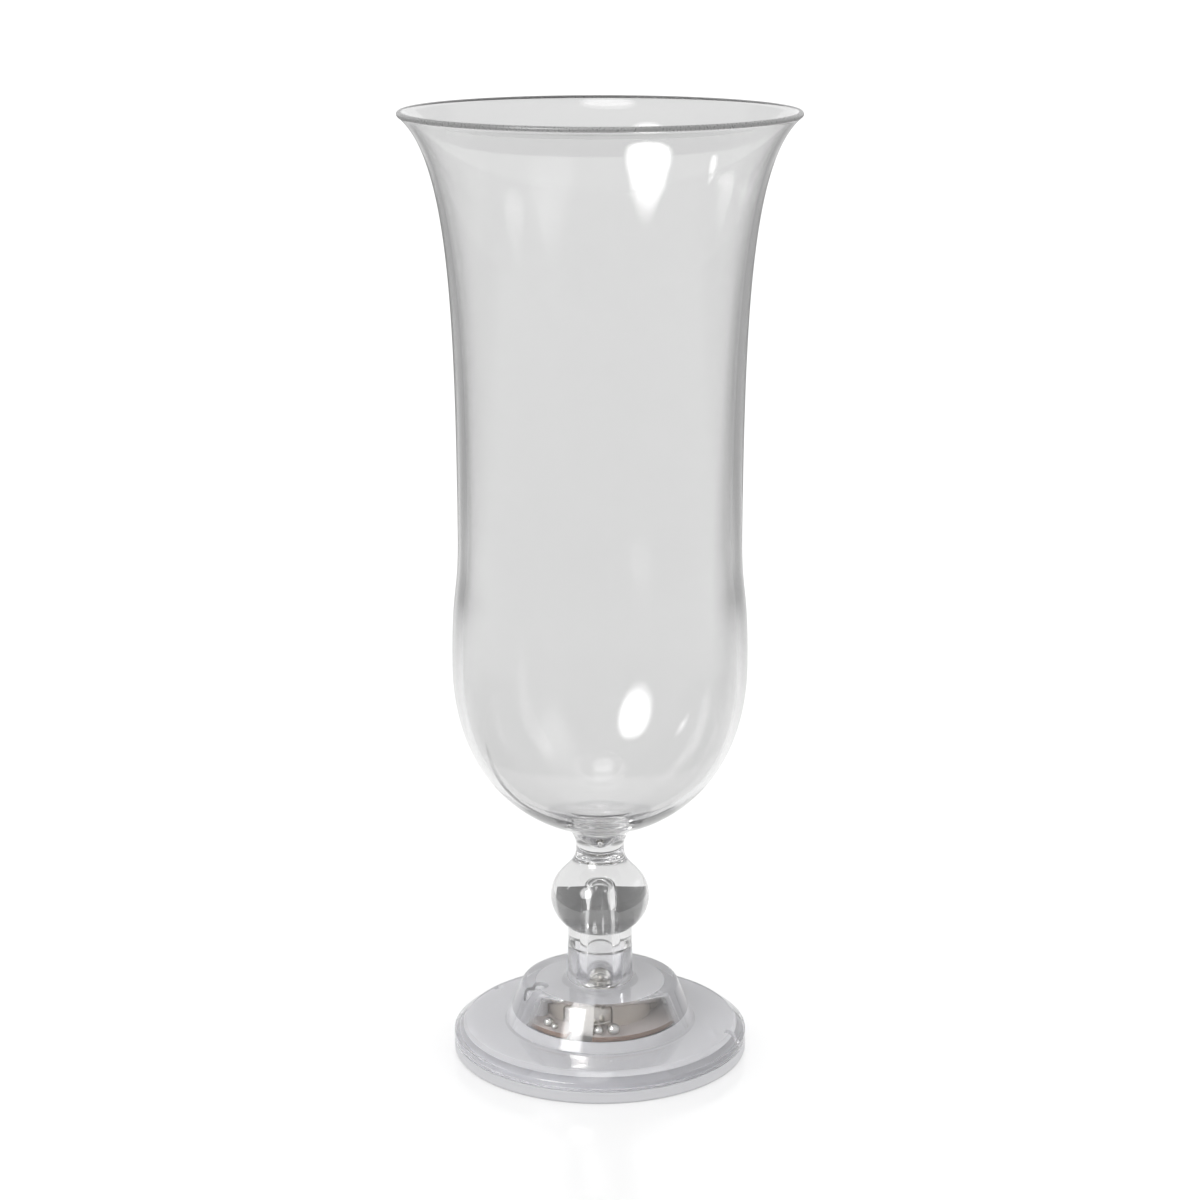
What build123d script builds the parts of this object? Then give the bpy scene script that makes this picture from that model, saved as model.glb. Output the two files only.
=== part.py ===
from build123d import *
import math
import os

# A light-up hurricane glass in clear plastic. Millimetres, +Z up. The origin is the middle of
# the face that it stands on, and the front faces -Y.

# Bowl, neck and ball
HEIGHT = 216.0
RIM_DIAMETER = 87.6
LIP_THICKNESS = 1.3
FLARE_ANGLE = 39.5
FLARE_PULL = 13.8
WAIST_DIAMETER = 63.5
WAIST_RISE = 29.7
WAIST_PULL_UP = 50.3
WAIST_PULL_DOWN = 14.0
BULGE_DIAMETER = 66.6
BULGE_RISE = 43.6
BULGE_PULL_UP = 18.4
BULGE_PULL_DOWN = 24.5
ROOT_ANGLE = 18.1
ROOT_PULL = 10.1
BOWL_WALL = 2.2
WELL_ANGLE = 45.0
WELL_ROUND = 1.0
NECK_DIAMETER = 11.0
NECK_LENGTH = 0.7
NECK_SWEEP = 6.1
NECK_PULL = 4.6
BALL_DIAMETER = 22.6
BALL_RISE = 11.9
BALL_PULL = 6.5
BALL_TOP = 11.5
BALL_DROP = 9.4
SPIGOT_DIAMETER = 10.8
SPIGOT_CHAMFER = 0.6
STUB_STEP = 0.1
BORE_END_DIAMETER = 4.9
BORE_RISE = 2.5

# Foot shell
FOOT_DIAMETER = 67.8
SHELL_EDGE = 1.9
BEVEL_WIDTH = 2.7
BEVEL_DROP = 2.0
BEVEL_ROUND = 0.6
SKIRT_WALL = 2.6
DISC_WALL = 1.6
DOME_WALL = 3.25
DOME_ROOF = 1.5
DOME_TAPER = 23.4
DOME_SHOULDER = 1.4
DOME_ROOT = 0.8
DOME_GAP = 0.3
ROOF_GAP = 0.2
COLLAR_HEIGHT = 8.5
COLLAR_WALL = 2.0
COLLAR_ROOT = 2.2
SPIGOT_FIT = 0.05
BOSS_DIAMETER = 4.0
BOSS_INSET = 3.0
LUG_WIDTH = 2.0
LUG_DEPTH = 1.5
LUG_AZIMUTHS = (75.0, 233.0)

# Base cover and its screws
COVER_EDGE = 2.9
COVER_RECESS = 1.2
COVER_FLOOR = 1.6
COVER_ROUND = 0.7
STAND_RING = 5.0
LIP_HEIGHT = 1.5
LIP_WALL = 1.8
LIP_FIT = 0.15
POST_WALL = 1.1
SCREW_DIAMETER = 2.0
SCREW_HEAD_DIAMETER = 3.8
SCREW_HEAD_HEIGHT = 1.3
SCREW_SINK = 0.5
SCREW_BITE = 4.1
SCREW_FIT = 0.2
THREAD_FIT = 0.05
PILOT_END = 0.4

# Button and switch
BUTTON_DIAMETER = 10.0
BUTTON_FLANGE = 1.2
BUTTON_FLANGE_HEIGHT = 0.6
BUTTON_RECESS = 0.5
BUTTON_DISH = 0.4
BUTTON_FIT = 0.2
BUTTON_GAP = 0.15
GUARD_HEIGHT = 1.2
GUARD_WALL = 1.0
GUARD_FIT = 0.3
SWITCH_SIDE = 6.0
SWITCH_HEIGHT = 3.2
SWITCH_COVER = 0.3
PLUNGER_DIAMETER = 3.4
PLUNGER_REACH = 0.65
PLUNGER_DEPTH = 1.0
PLUNGER_ROOM = 0.6
PLUNGER_FIT = 0.2

# Board, cells and contacts
BOARD_THICKNESS = 1.2
BOARD_GAP = 0.25
CELL_DIAMETER = 11.6
CELL_HEIGHT = 5.4
CELL_CAP_DIAMETER = 9.6
CELL_CAP_HEIGHT = 0.4
CELL_ROUND = 0.45
CELL_FIT = 0.2
CELL_COUNT = 3
FIRST_CELL_AZIMUTH = -15.0
CONTACT_THICKNESS = 0.25
CONTACT_DIAMETER = 7.6
LINK_WIDTH = 3.0
STRIP_WIDTH = 5.2
STRIP_LEAN = 12.0
STRIP_TAIL = 0.6
STRIP_FIT = 0.2
HOLDER_HEIGHT = 4.1
HOLDER_GAP = 0.6
HUB_WALL = 0.6
CHIP_DIAMETER = 6.0
CHIP_HEIGHT = 1.2
RESISTOR_SIZE = (1.25, 2.0, 0.55)
RESISTOR_COUNT = 3
RESISTOR_STEP = 15.0

# LED
LED_DIAMETER = 4.8
LED_HEIGHT = 4.8
LED_FLANGE_DIAMETER = 5.6
LED_FLANGE_HEIGHT = 1.0
LED_FIT = 0.4
LED_GAP = 0.1
LED_LEAD = 0.5
LED_PITCH = 2.54
LED_FOOT = 0.5

# Heights, from the table up
COVER_TOP = COVER_RECESS + COVER_FLOOR
DISC_TOP = COVER_EDGE + SHELL_EDGE + BEVEL_DROP
BUTTON_TOP = COVER_TOP + BUTTON_GAP + BUTTON_FLANGE_HEIGHT
SWITCH_BOTTOM = BUTTON_TOP + PLUNGER_REACH
BOARD_BOTTOM = SWITCH_BOTTOM + SWITCH_COVER + SWITCH_HEIGHT
BOARD_TOP = BOARD_BOTTOM + BOARD_THICKNESS
CELL_BOTTOM = BOARD_TOP + CONTACT_THICKNESS
CELL_TOP = CELL_BOTTOM + CELL_HEIGHT
DOME_CEILING = CELL_TOP + CONTACT_THICKNESS + ROOF_GAP
DOME_TOP = DOME_CEILING + DOME_ROOF
COLLAR_TOP = DOME_TOP + COLLAR_HEIGHT
BALL_HEIGHT = COLLAR_TOP + BALL_RISE
NECK_BOTTOM = BALL_HEIGHT + BALL_TOP
NECK_TOP = NECK_BOTTOM + NECK_LENGTH
BULGE_HEIGHT = NECK_TOP + BULGE_RISE
WAIST_HEIGHT = BULGE_HEIGHT + WAIST_RISE
LED_SEAT = CELL_TOP + CONTACT_THICKNESS + LED_GAP
SCREW_SEAT = COVER_RECESS + SCREW_SINK + SCREW_HEAD_HEIGHT

# Radii that the pieces share
FOOT_RADIUS = FOOT_DIAMETER / 2
SKIRT_RADIUS = FOOT_RADIUS - SKIRT_WALL
COLLAR_BORE = SPIGOT_DIAMETER / 2 + SPIGOT_FIT
COLLAR_RADIUS = COLLAR_BORE + COLLAR_WALL
LED_BORE = LED_FLANGE_DIAMETER / 2 + LED_FIT
CELL_RADIUS = CELL_DIAMETER / 2
HUB_RADIUS = (LED_PITCH + LED_LEAD) / 2 + HUB_WALL
CELL_CIRCLE = HUB_RADIUS + CELL_FIT + CELL_RADIUS
STRIP_RADIUS = CELL_CIRCLE + CELL_RADIUS + CELL_FIT
DOME_LEAN = math.tan(math.radians(DOME_TAPER))
DOME_SIDE = DOME_WALL / math.cos(math.radians(DOME_TAPER))
CEILING_RADIUS = math.hypot(STRIP_RADIUS + CONTACT_THICKNESS, STRIP_WIDTH / 2) + DOME_GAP
BOARD_RADIUS = CEILING_RADIUS + (DOME_CEILING - BOARD_TOP) * DOME_LEAN - BOARD_GAP
BOSS_RADIUS = BOSS_DIAMETER / 2
BOSS_CIRCLE = BOARD_RADIUS - BOSS_INSET
HOLDER_RADIUS = BOSS_CIRCLE - BOSS_RADIUS - HOLDER_GAP
SCREW_HOLE = SCREW_DIAMETER / 2 + SCREW_FIT
HEAD_HOLE = SCREW_HEAD_DIAMETER / 2 + SCREW_FIT
POST_RADIUS = HEAD_HOLE + POST_WALL
BUTTON_RADIUS = BUTTON_DIAMETER / 2
FLANGE_RADIUS = BUTTON_RADIUS + BUTTON_FLANGE
PLUNGER_HOLE = PLUNGER_DIAMETER / 2 + PLUNGER_FIT

# Azimuths: 0 faces the front and 90 the right
CELL_STEP = 360.0 / CELL_COUNT
CELL_AZIMUTHS = [FIRST_CELL_AZIMUTH + i * CELL_STEP for i in range(CELL_COUNT)]
GAP_AZIMUTHS = [azimuth + CELL_STEP / 2 for azimuth in CELL_AZIMUTHS]
SCREW_AZIMUTHS = GAP_AZIMUTHS[1:]

UPWARD = (Align.CENTER, Align.CENTER, Align.MIN)


def facing(azimuth, radius, height=0.0):
    """Place whose +X points outward, at a radius and azimuth round the axis."""
    return Rot(0, 0, azimuth - 90) * Pos(radius, 0, height)


def turned(edges):
    """Solid turned about the axis from the closed outline of (radius, height) edges."""
    return revolve(Plane.XZ * make_face(edges), Axis.Z)


def turned_points(points, rounds=()):
    """Solid turned from a polygon of (radius, height) points, some with rounded corners."""
    face = make_face(Polyline(*points, close=True))
    for corner, radius in rounds:
        face = fillet(face.vertices().sort_by_distance(corner)[0], radius)
    return revolve(Plane.XZ * face, Axis.Z)


def post(radius, bottom, top):
    """Upright cylinder on the axis between two heights."""
    return Pos(0, 0, bottom) * Cylinder(radius, top - bottom, align=UPWARD)


def block(length, width, bottom, top):
    """Upright block on the axis between two heights."""
    return Pos(0, 0, bottom) * Box(length, width, top - bottom, align=UPWARD)


def step_along(point, angle, distance):
    """Point at a distance from another, in a direction above the horizontal."""
    direction = math.radians(angle)
    return (point[0] + distance * math.cos(direction), point[1] + distance * math.sin(direction))


def crown(radius, edge, top):
    """Arc centred on the axis, from an edge at one height to a crown at another."""
    rise = top - edge
    bend = (radius**2 + rise**2) / (2 * rise)
    middle = top - bend + math.copysign(math.sqrt(bend**2 - (radius / 2) ** 2), bend)
    return ThreePointArc((radius, edge), (radius / 2, middle), (0, top))


def dome_radius(height):
    """Inner radius of the dome's cone at a height."""
    return CEILING_RADIUS + (DOME_CEILING - height) * DOME_LEAN


def bowl_wall(bulge, waist, lip):
    """Edges of one face of the bowl from its bulge to its lip."""
    low = (bulge, BULGE_HEIGHT)
    mid = (waist, WAIST_HEIGHT)
    shoulder = Bezier(
        low,
        (bulge, BULGE_HEIGHT + BULGE_PULL_UP),
        (waist, WAIST_HEIGHT - WAIST_PULL_DOWN),
        mid,
    )
    flare = Bezier(
        mid,
        (waist, WAIST_HEIGHT + WAIST_PULL_UP),
        step_along(lip, FLARE_ANGLE, -FLARE_PULL),
        lip,
    )
    return [shoulder, flare]


def make_bowl():
    """Bowl, neck, ball and spigot, one moulding with a cored stem."""
    spigot = SPIGOT_DIAMETER / 2
    spigot_bottom = DOME_CEILING
    stub = COLLAR_RADIUS - STUB_STEP
    ball = BALL_DIAMETER / 2
    neck = NECK_DIAMETER / 2
    bulge = BULGE_DIAMETER / 2
    waist = WAIST_DIAMETER / 2
    lip_round = LIP_THICKNESS / 2
    stub_angle = math.degrees(math.acos(stub / ball))
    stub_top = BALL_HEIGHT - BALL_DROP * math.sin(math.radians(stub_angle))

    turn = 90 - ROOT_ANGLE
    sweep_centre = (neck + NECK_SWEEP, NECK_TOP)
    root = step_along(sweep_centre, 180 - turn, NECK_SWEEP)
    floor_sweep = NECK_SWEEP + BOWL_WALL
    floor = step_along(sweep_centre, 180 - turn, floor_sweep)
    well_edge = step_along(sweep_centre, 90 + WELL_ANGLE, floor_sweep)
    well_slope = math.radians(WELL_ANGLE)
    well_tip = well_edge[1] - well_edge[0] * math.tan(well_slope)
    tip_centre = (0, well_tip + WELL_ROUND / math.cos(well_slope))

    lip_centre = (RIM_DIAMETER / 2 - lip_round, HEIGHT - lip_round)
    lip_outer = step_along(lip_centre, FLARE_ANGLE - 90, lip_round)
    lip_inner = step_along(lip_centre, FLARE_ANGLE + 90, lip_round)
    lip_end = step_along(lip_centre, FLARE_ANGLE, lip_round)

    stem = Polyline(
        (0, spigot_bottom),
        (spigot - SPIGOT_CHAMFER, spigot_bottom),
        (spigot, spigot_bottom + SPIGOT_CHAMFER),
        (spigot, COLLAR_TOP),
        (stub, COLLAR_TOP),
        (stub, stub_top),
    )
    ball_under = EllipticalCenterArc(
        (0, BALL_HEIGHT), ball, BALL_DROP, start_angle=-stub_angle, arc_size=stub_angle
    )
    ball_over = Bezier(
        (ball, BALL_HEIGHT),
        (ball, BALL_HEIGHT + BALL_PULL),
        (neck, NECK_BOTTOM - NECK_PULL),
        (neck, NECK_BOTTOM),
    )
    neck_side = Line((neck, NECK_BOTTOM), (neck, NECK_TOP))
    sweep = CenterArc(sweep_centre, NECK_SWEEP, 180, -turn)
    under = Bezier(
        root,
        step_along(root, ROOT_ANGLE, ROOT_PULL),
        (bulge, BULGE_HEIGHT - BULGE_PULL_DOWN),
        (bulge, BULGE_HEIGHT),
    )
    lip = ThreePointArc(lip_outer, lip_end, lip_inner)
    inside = Bezier(
        floor,
        step_along(floor, ROOT_ANGLE, ROOT_PULL),
        (bulge - BOWL_WALL, BULGE_HEIGHT - BULGE_PULL_DOWN),
        (bulge - BOWL_WALL, BULGE_HEIGHT),
    )
    floor_turn = CenterArc(sweep_centre, floor_sweep, 180 - turn, WELL_ANGLE - ROOT_ANGLE)
    well_side = Line(well_edge, step_along(tip_centre, WELL_ANGLE - 90, WELL_ROUND))
    well_end = CenterArc(tip_centre, WELL_ROUND, -90, WELL_ANGLE)
    axis = Line((0, tip_centre[1] - WELL_ROUND), (0, spigot_bottom))
    outer_wall = bowl_wall(bulge, waist, lip_outer)
    inner_wall = bowl_wall(bulge - BOWL_WALL, waist - BOWL_WALL, lip_inner)
    outer_face = [stem, ball_under, ball_over, neck_side, sweep, under, *outer_wall, lip]
    inner_face = [*inner_wall, inside, floor_turn, well_side, well_end, axis]
    glass = turned(outer_face + inner_face)

    bore_end = BORE_END_DIAMETER / 2
    bore_top = BALL_HEIGHT + BORE_RISE
    bore_side = Polyline(
        (0, bore_top),
        (0, spigot_bottom),
        (LED_BORE, spigot_bottom),
        (bore_end, bore_top - bore_end),
    )
    bore_dome = CenterArc((0, bore_top - bore_end), bore_end, 0, 90)
    return glass - turned([bore_side, bore_dome])


def make_foot_shell():
    """Collar, dome and disc, one moulding that is open below."""
    disc_edge = FOOT_RADIUS - BEVEL_WIDTH
    disc_under = DISC_TOP - DISC_WALL
    dome_base = (dome_radius(DISC_TOP) + DOME_SIDE, DISC_TOP)
    dome_edge = (dome_radius(DOME_TOP) + DOME_SIDE, DOME_TOP)
    collar_foot = (COLLAR_RADIUS, DOME_TOP)
    bevel_low = (FOOT_RADIUS, COVER_EDGE + SHELL_EDGE)
    bevel_high = (disc_edge, DISC_TOP)
    outside = turned_points(
        [
            (0, COVER_EDGE),
            (FOOT_RADIUS, COVER_EDGE),
            bevel_low,
            bevel_high,
            dome_base,
            dome_edge,
            collar_foot,
            (COLLAR_RADIUS, COLLAR_TOP),
            (0, COLLAR_TOP),
        ],
        rounds=[
            (bevel_low, BEVEL_ROUND),
            (bevel_high, BEVEL_ROUND),
            (dome_base, DOME_ROOT),
            (dome_edge, DOME_SHOULDER),
            (collar_foot, COLLAR_ROOT),
        ],
    )
    inside = turned_points(
        [
            (0, COVER_EDGE),
            (SKIRT_RADIUS, COVER_EDGE),
            (SKIRT_RADIUS, disc_under),
            (dome_radius(disc_under), disc_under),
            (CEILING_RADIUS, DOME_CEILING),
            (0, DOME_CEILING),
        ]
    )
    for azimuth in SCREW_AZIMUTHS:
        inside -= facing(azimuth, BOSS_CIRCLE) * post(BOSS_RADIUS, BOARD_TOP, DOME_TOP)
    for azimuth in LUG_AZIMUTHS:
        lug = block(2 * LUG_DEPTH, LUG_WIDTH, COVER_EDGE, DISC_TOP)
        inside -= facing(azimuth, SKIRT_RADIUS) * lug
    shell = outside - inside - post(COLLAR_BORE, DOME_CEILING, COLLAR_TOP)
    pilot = post(SCREW_DIAMETER / 2 + THREAD_FIT, BOARD_TOP, BOARD_TOP + SCREW_BITE + PILOT_END)
    for azimuth in SCREW_AZIMUTHS:
        shell -= facing(azimuth, BOSS_CIRCLE) * pilot
    return shell


def make_base_cover():
    """Cover that closes the foot, with its lip, screw posts and button hole."""
    lip = SKIRT_RADIUS - LIP_FIT
    ring = FOOT_RADIUS - STAND_RING
    stand_edge = (FOOT_RADIUS, 0)
    cover = turned_points(
        [
            (0, COVER_RECESS),
            (ring, COVER_RECESS),
            (ring, 0),
            stand_edge,
            (FOOT_RADIUS, COVER_EDGE),
            (lip, COVER_EDGE),
            (lip, COVER_EDGE + LIP_HEIGHT),
            (lip - LIP_WALL, COVER_EDGE + LIP_HEIGHT),
            (lip - LIP_WALL, COVER_TOP),
            (0, COVER_TOP),
        ],
        rounds=[(stand_edge, COVER_ROUND)],
    )
    guard = FLANGE_RADIUS + GUARD_FIT
    cover += post(guard + GUARD_WALL, COVER_TOP, COVER_TOP + GUARD_HEIGHT)
    cover -= post(guard, COVER_TOP, COVER_TOP + GUARD_HEIGHT)
    cover -= post(BUTTON_RADIUS + BUTTON_FIT, COVER_RECESS, COVER_TOP)
    for azimuth in SCREW_AZIMUTHS:
        place = facing(azimuth, BOSS_CIRCLE)
        cover += place * post(POST_RADIUS, COVER_RECESS, BOARD_BOTTOM)
        cover -= place * post(HEAD_HOLE, COVER_RECESS, SCREW_SEAT)
        cover -= place * post(SCREW_HOLE, SCREW_SEAT, BOARD_BOTTOM)
    for azimuth in LUG_AZIMUTHS:
        notch = block(2 * (LUG_DEPTH + LIP_FIT), LUG_WIDTH + 2 * LIP_FIT, COVER_EDGE, DISC_TOP)
        cover -= facing(azimuth, SKIRT_RADIUS) * notch
    return cover


def make_base_screws():
    """Screws that clamp the cover and the board to the dome's bosses."""
    screw = post(SCREW_HEAD_DIAMETER / 2, SCREW_SEAT - SCREW_HEAD_HEIGHT, SCREW_SEAT)
    screw += post(SCREW_DIAMETER / 2, SCREW_SEAT, BOARD_TOP + SCREW_BITE)
    return Compound([facing(azimuth, BOSS_CIRCLE) * screw for azimuth in SCREW_AZIMUTHS])


def strip_radius(height):
    """Inner radius of the leaning contact strip at a height."""
    return STRIP_RADIUS + (CELL_TOP - height) * math.tan(math.radians(STRIP_LEAN))


def make_circuit_board():
    """Round board with its screw holes and the notch for the contact strip."""
    board = post(BOARD_RADIUS, BOARD_BOTTOM, BOARD_TOP)
    for azimuth in SCREW_AZIMUTHS:
        board -= facing(azimuth, BOSS_CIRCLE) * post(SCREW_HOLE, BOARD_BOTTOM, BOARD_TOP)
    notch_depth = BOARD_RADIUS - strip_radius(BOARD_TOP) + STRIP_FIT
    notch = block(2 * notch_depth, STRIP_WIDTH + 2 * STRIP_FIT, BOARD_BOTTOM, BOARD_TOP)
    return board - facing(FIRST_CELL_AZIMUTH, BOARD_RADIUS) * notch


def make_button_cell(azimuth, cap_up):
    """One button cell, a can with its cap above or below."""
    can_top = CELL_HEIGHT - CELL_CAP_HEIGHT
    cap = CELL_CAP_DIAMETER / 2
    cell = turned_points(
        [
            (0, 0),
            (CELL_RADIUS, 0),
            (CELL_RADIUS, can_top),
            (cap, can_top),
            (cap, CELL_HEIGHT),
            (0, CELL_HEIGHT),
        ],
        rounds=[((CELL_RADIUS, 0), CELL_ROUND), ((CELL_RADIUS, can_top), CELL_ROUND)],
    )
    if not cap_up:
        cell = Pos(0, 0, CELL_HEIGHT) * Rot(180, 0, 0) * cell
    return facing(azimuth, CELL_CIRCLE, CELL_BOTTOM) * cell


def make_cell_holder():
    """Three-armed holder between the cells, with the LED's seat on its hub."""
    holder = post(HOLDER_RADIUS, BOARD_TOP, BOARD_TOP + HOLDER_HEIGHT)
    for azimuth in CELL_AZIMUTHS:
        pocket = post(CELL_RADIUS + CELL_FIT, BOARD_TOP, BOARD_TOP + HOLDER_HEIGHT)
        holder -= facing(azimuth, CELL_CIRCLE) * pocket
    holder += post(HUB_RADIUS, BOARD_TOP, LED_SEAT)
    slot_length = LED_PITCH + LED_LEAD + 2 * CELL_FIT
    slot_width = LED_LEAD + 2 * CELL_FIT
    slot = block(slot_length, slot_width, BOARD_TOP, LED_SEAT)
    foot_room = block(slot_length + 2 * LED_FOOT, slot_width, BOARD_TOP, BOARD_TOP + slot_width)
    return holder - facing(GAP_AZIMUTHS[0], 0) * (slot + foot_room)


def make_lower_contacts():
    """Contact discs on the board under the cells."""
    disc = post(CONTACT_DIAMETER / 2, BOARD_TOP, CELL_BOTTOM)
    return Compound([facing(azimuth, CELL_CIRCLE) * disc for azimuth in CELL_AZIMUTHS])


def make_upper_link():
    """Plate that joins the tops of the two cells away from the strip."""
    half_step = math.radians(CELL_STEP / 2)
    span = 2 * CELL_CIRCLE * math.sin(half_step)
    plate = extrude(SlotCenterToCenter(span, LINK_WIDTH), CONTACT_THICKNESS)
    place = facing(GAP_AZIMUTHS[1], CELL_CIRCLE * math.cos(half_step), CELL_TOP)
    return place * Rot(0, 0, 90) * plate


def make_positive_contact():
    """Strip from the front cell's top, down past its side and the board's edge."""
    tail = BOARD_BOTTOM - STRIP_TAIL
    plate_top = CELL_TOP + CONTACT_THICKNESS
    outline = Polyline(
        (CELL_CIRCLE - CONTACT_DIAMETER / 2, CELL_TOP),
        (STRIP_RADIUS, CELL_TOP),
        (strip_radius(tail), tail),
        (strip_radius(tail) + CONTACT_THICKNESS, tail),
        (STRIP_RADIUS + CONTACT_THICKNESS, plate_top),
        (CELL_CIRCLE - CONTACT_DIAMETER / 2, plate_top),
        close=True,
    )
    strip = extrude(Plane.XZ * make_face(outline), STRIP_WIDTH / 2, both=True)
    return facing(FIRST_CELL_AZIMUTH, 0) * strip


def make_driver_chip():
    """Drop of black resin over the driver chip, under the board."""
    radius = CHIP_DIAMETER / 2
    dome = crown(radius, 0, -CHIP_HEIGHT)
    back = Polyline((0, -CHIP_HEIGHT), (0, 0), (radius, 0))
    return facing(FIRST_CELL_AZIMUTH, CELL_CIRCLE, BOARD_BOTTOM) * turned([dome, back])


def make_chip_resistors():
    """Row of chip resistors under the board."""
    width, length, height = RESISTOR_SIZE
    resistor = block(length, width, BOARD_BOTTOM - height, BOARD_BOTTOM)
    middle = (RESISTOR_COUNT - 1) / 2
    places = [
        facing(CELL_AZIMUTHS[1] + (i - middle) * RESISTOR_STEP, CELL_CIRCLE)
        for i in range(RESISTOR_COUNT)
    ]
    return Compound([place * resistor for place in places])


def make_led_lens():
    """Round LED, standing on the holder's hub, with its dome in the stem's bore."""
    body = LED_DIAMETER / 2
    flange = LED_FLANGE_DIAMETER / 2
    top = LED_SEAT + LED_HEIGHT
    side = Polyline(
        (0, top),
        (0, LED_SEAT),
        (flange, LED_SEAT),
        (flange, LED_SEAT + LED_FLANGE_HEIGHT),
        (body, LED_SEAT + LED_FLANGE_HEIGHT),
        (body, top - body),
    )
    lens = turned([side, CenterArc((0, top - body), body, 0, 90)])
    flat = block(flange - body, 2 * flange, LED_SEAT, LED_SEAT + LED_FLANGE_HEIGHT)
    return lens - facing(GAP_AZIMUTHS[0], (flange + body) / 2) * flat


def make_led_leads():
    """The LED's two leads, each with a foot on the board."""
    inner = (LED_PITCH - LED_LEAD) / 2
    outer = inner + LED_LEAD
    outline = Polyline(
        (inner, LED_SEAT),
        (inner, BOARD_TOP),
        (outer + LED_FOOT, BOARD_TOP),
        (outer + LED_FOOT, BOARD_TOP + LED_LEAD),
        (outer, BOARD_TOP + LED_LEAD),
        (outer, LED_SEAT),
        close=True,
    )
    lead = extrude(Plane.XZ * make_face(outline), LED_LEAD / 2, both=True)
    azimuth = GAP_AZIMUTHS[0]
    return Compound([facing(azimuth, 0) * lead, facing(azimuth + 180, 0) * lead])


def make_switch_base():
    """Body of the push switch under the board, with a well for its plunger."""
    bottom = SWITCH_BOTTOM + SWITCH_COVER
    body = block(SWITCH_SIDE, SWITCH_SIDE, bottom, BOARD_BOTTOM)
    return body - post(PLUNGER_HOLE, bottom, bottom + PLUNGER_DEPTH + PLUNGER_ROOM)


def make_switch_cover():
    """Metal plate over the switch, with a hole for its plunger."""
    top = SWITCH_BOTTOM + SWITCH_COVER
    plate = block(SWITCH_SIDE, SWITCH_SIDE, SWITCH_BOTTOM, top)
    return plate - post(PLUNGER_HOLE, SWITCH_BOTTOM, top)


def make_switch_plunger():
    """Plunger of the switch, which stands on the button."""
    return post(PLUNGER_DIAMETER / 2, BUTTON_TOP, SWITCH_BOTTOM + SWITCH_COVER + PLUNGER_DEPTH)


def make_push_button():
    """Button in the base cover, with a dished face and a flange that keeps it in."""
    flange_bottom = COVER_TOP + BUTTON_GAP
    side = Polyline(
        (0, BUTTON_RECESS + BUTTON_DISH),
        (0, BUTTON_TOP),
        (FLANGE_RADIUS, BUTTON_TOP),
        (FLANGE_RADIUS, flange_bottom),
        (BUTTON_RADIUS, flange_bottom),
        (BUTTON_RADIUS, BUTTON_RECESS),
    )
    dish = crown(BUTTON_RADIUS, BUTTON_RECESS, BUTTON_RECESS + BUTTON_DISH)
    return turned([side, dish])


def main():
    parts = {
        "bowl": make_bowl(),
        "foot_shell": make_foot_shell(),
        "base_cover": make_base_cover(),
        "base_screws": make_base_screws(),
        "circuit_board": make_circuit_board(),
        "cell_holder": make_cell_holder(),
        "front_button_cell": make_button_cell(CELL_AZIMUTHS[0], cap_up=False),
        "right_button_cell": make_button_cell(CELL_AZIMUTHS[1], cap_up=True),
        "rear_button_cell": make_button_cell(CELL_AZIMUTHS[2], cap_up=False),
        "lower_contacts": make_lower_contacts(),
        "upper_link": make_upper_link(),
        "positive_contact": make_positive_contact(),
        "driver_chip": make_driver_chip(),
        "chip_resistors": make_chip_resistors(),
        "led_lens": make_led_lens(),
        "led_leads": make_led_leads(),
        "switch_base": make_switch_base(),
        "switch_cover": make_switch_cover(),
        "switch_plunger": make_switch_plunger(),
        "push_button": make_push_button(),
    }
    os.makedirs("parts", exist_ok=True)
    for name, part in parts.items():
        export_step(part, f"parts/{name}.step")


main()
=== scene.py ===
"""Looks of a light-up hurricane glass in clear plastic, built around its CAD model.

Lengths are metres in the frame of the CAD model: +Z up along the axis, the front faces -Y.
An azimuth of 0 faces the front and 90 the right.
"""

import math

import bmesh
import bpy
from bpy.props import FloatProperty, FloatVectorProperty, IntProperty, PointerProperty
from mathutils import Matrix, Vector


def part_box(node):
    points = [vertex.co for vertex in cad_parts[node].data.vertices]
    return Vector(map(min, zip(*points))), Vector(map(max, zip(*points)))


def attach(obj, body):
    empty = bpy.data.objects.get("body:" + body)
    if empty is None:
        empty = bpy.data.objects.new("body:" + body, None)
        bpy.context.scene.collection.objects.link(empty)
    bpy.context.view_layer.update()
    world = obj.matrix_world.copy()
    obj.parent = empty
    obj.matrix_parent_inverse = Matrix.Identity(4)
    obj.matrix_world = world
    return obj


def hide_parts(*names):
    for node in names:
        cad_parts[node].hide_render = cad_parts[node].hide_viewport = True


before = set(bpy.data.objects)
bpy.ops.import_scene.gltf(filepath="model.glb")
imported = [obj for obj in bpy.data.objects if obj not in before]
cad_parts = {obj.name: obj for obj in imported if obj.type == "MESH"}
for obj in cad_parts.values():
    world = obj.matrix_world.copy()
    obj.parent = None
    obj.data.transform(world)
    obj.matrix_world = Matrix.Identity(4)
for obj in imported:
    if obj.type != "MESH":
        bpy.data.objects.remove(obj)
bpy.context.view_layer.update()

bl_info = {
    "name": "Light-up hurricane glass",
    "version": (1, 0, 0),
    "blender": (4, 5, 0),
    "location": "3D View > Sidebar > Glass",
    "description": "Builds the bowl, the lit foot and the studio of a plastic hurricane glass",
    "category": "Object",
}

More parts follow.
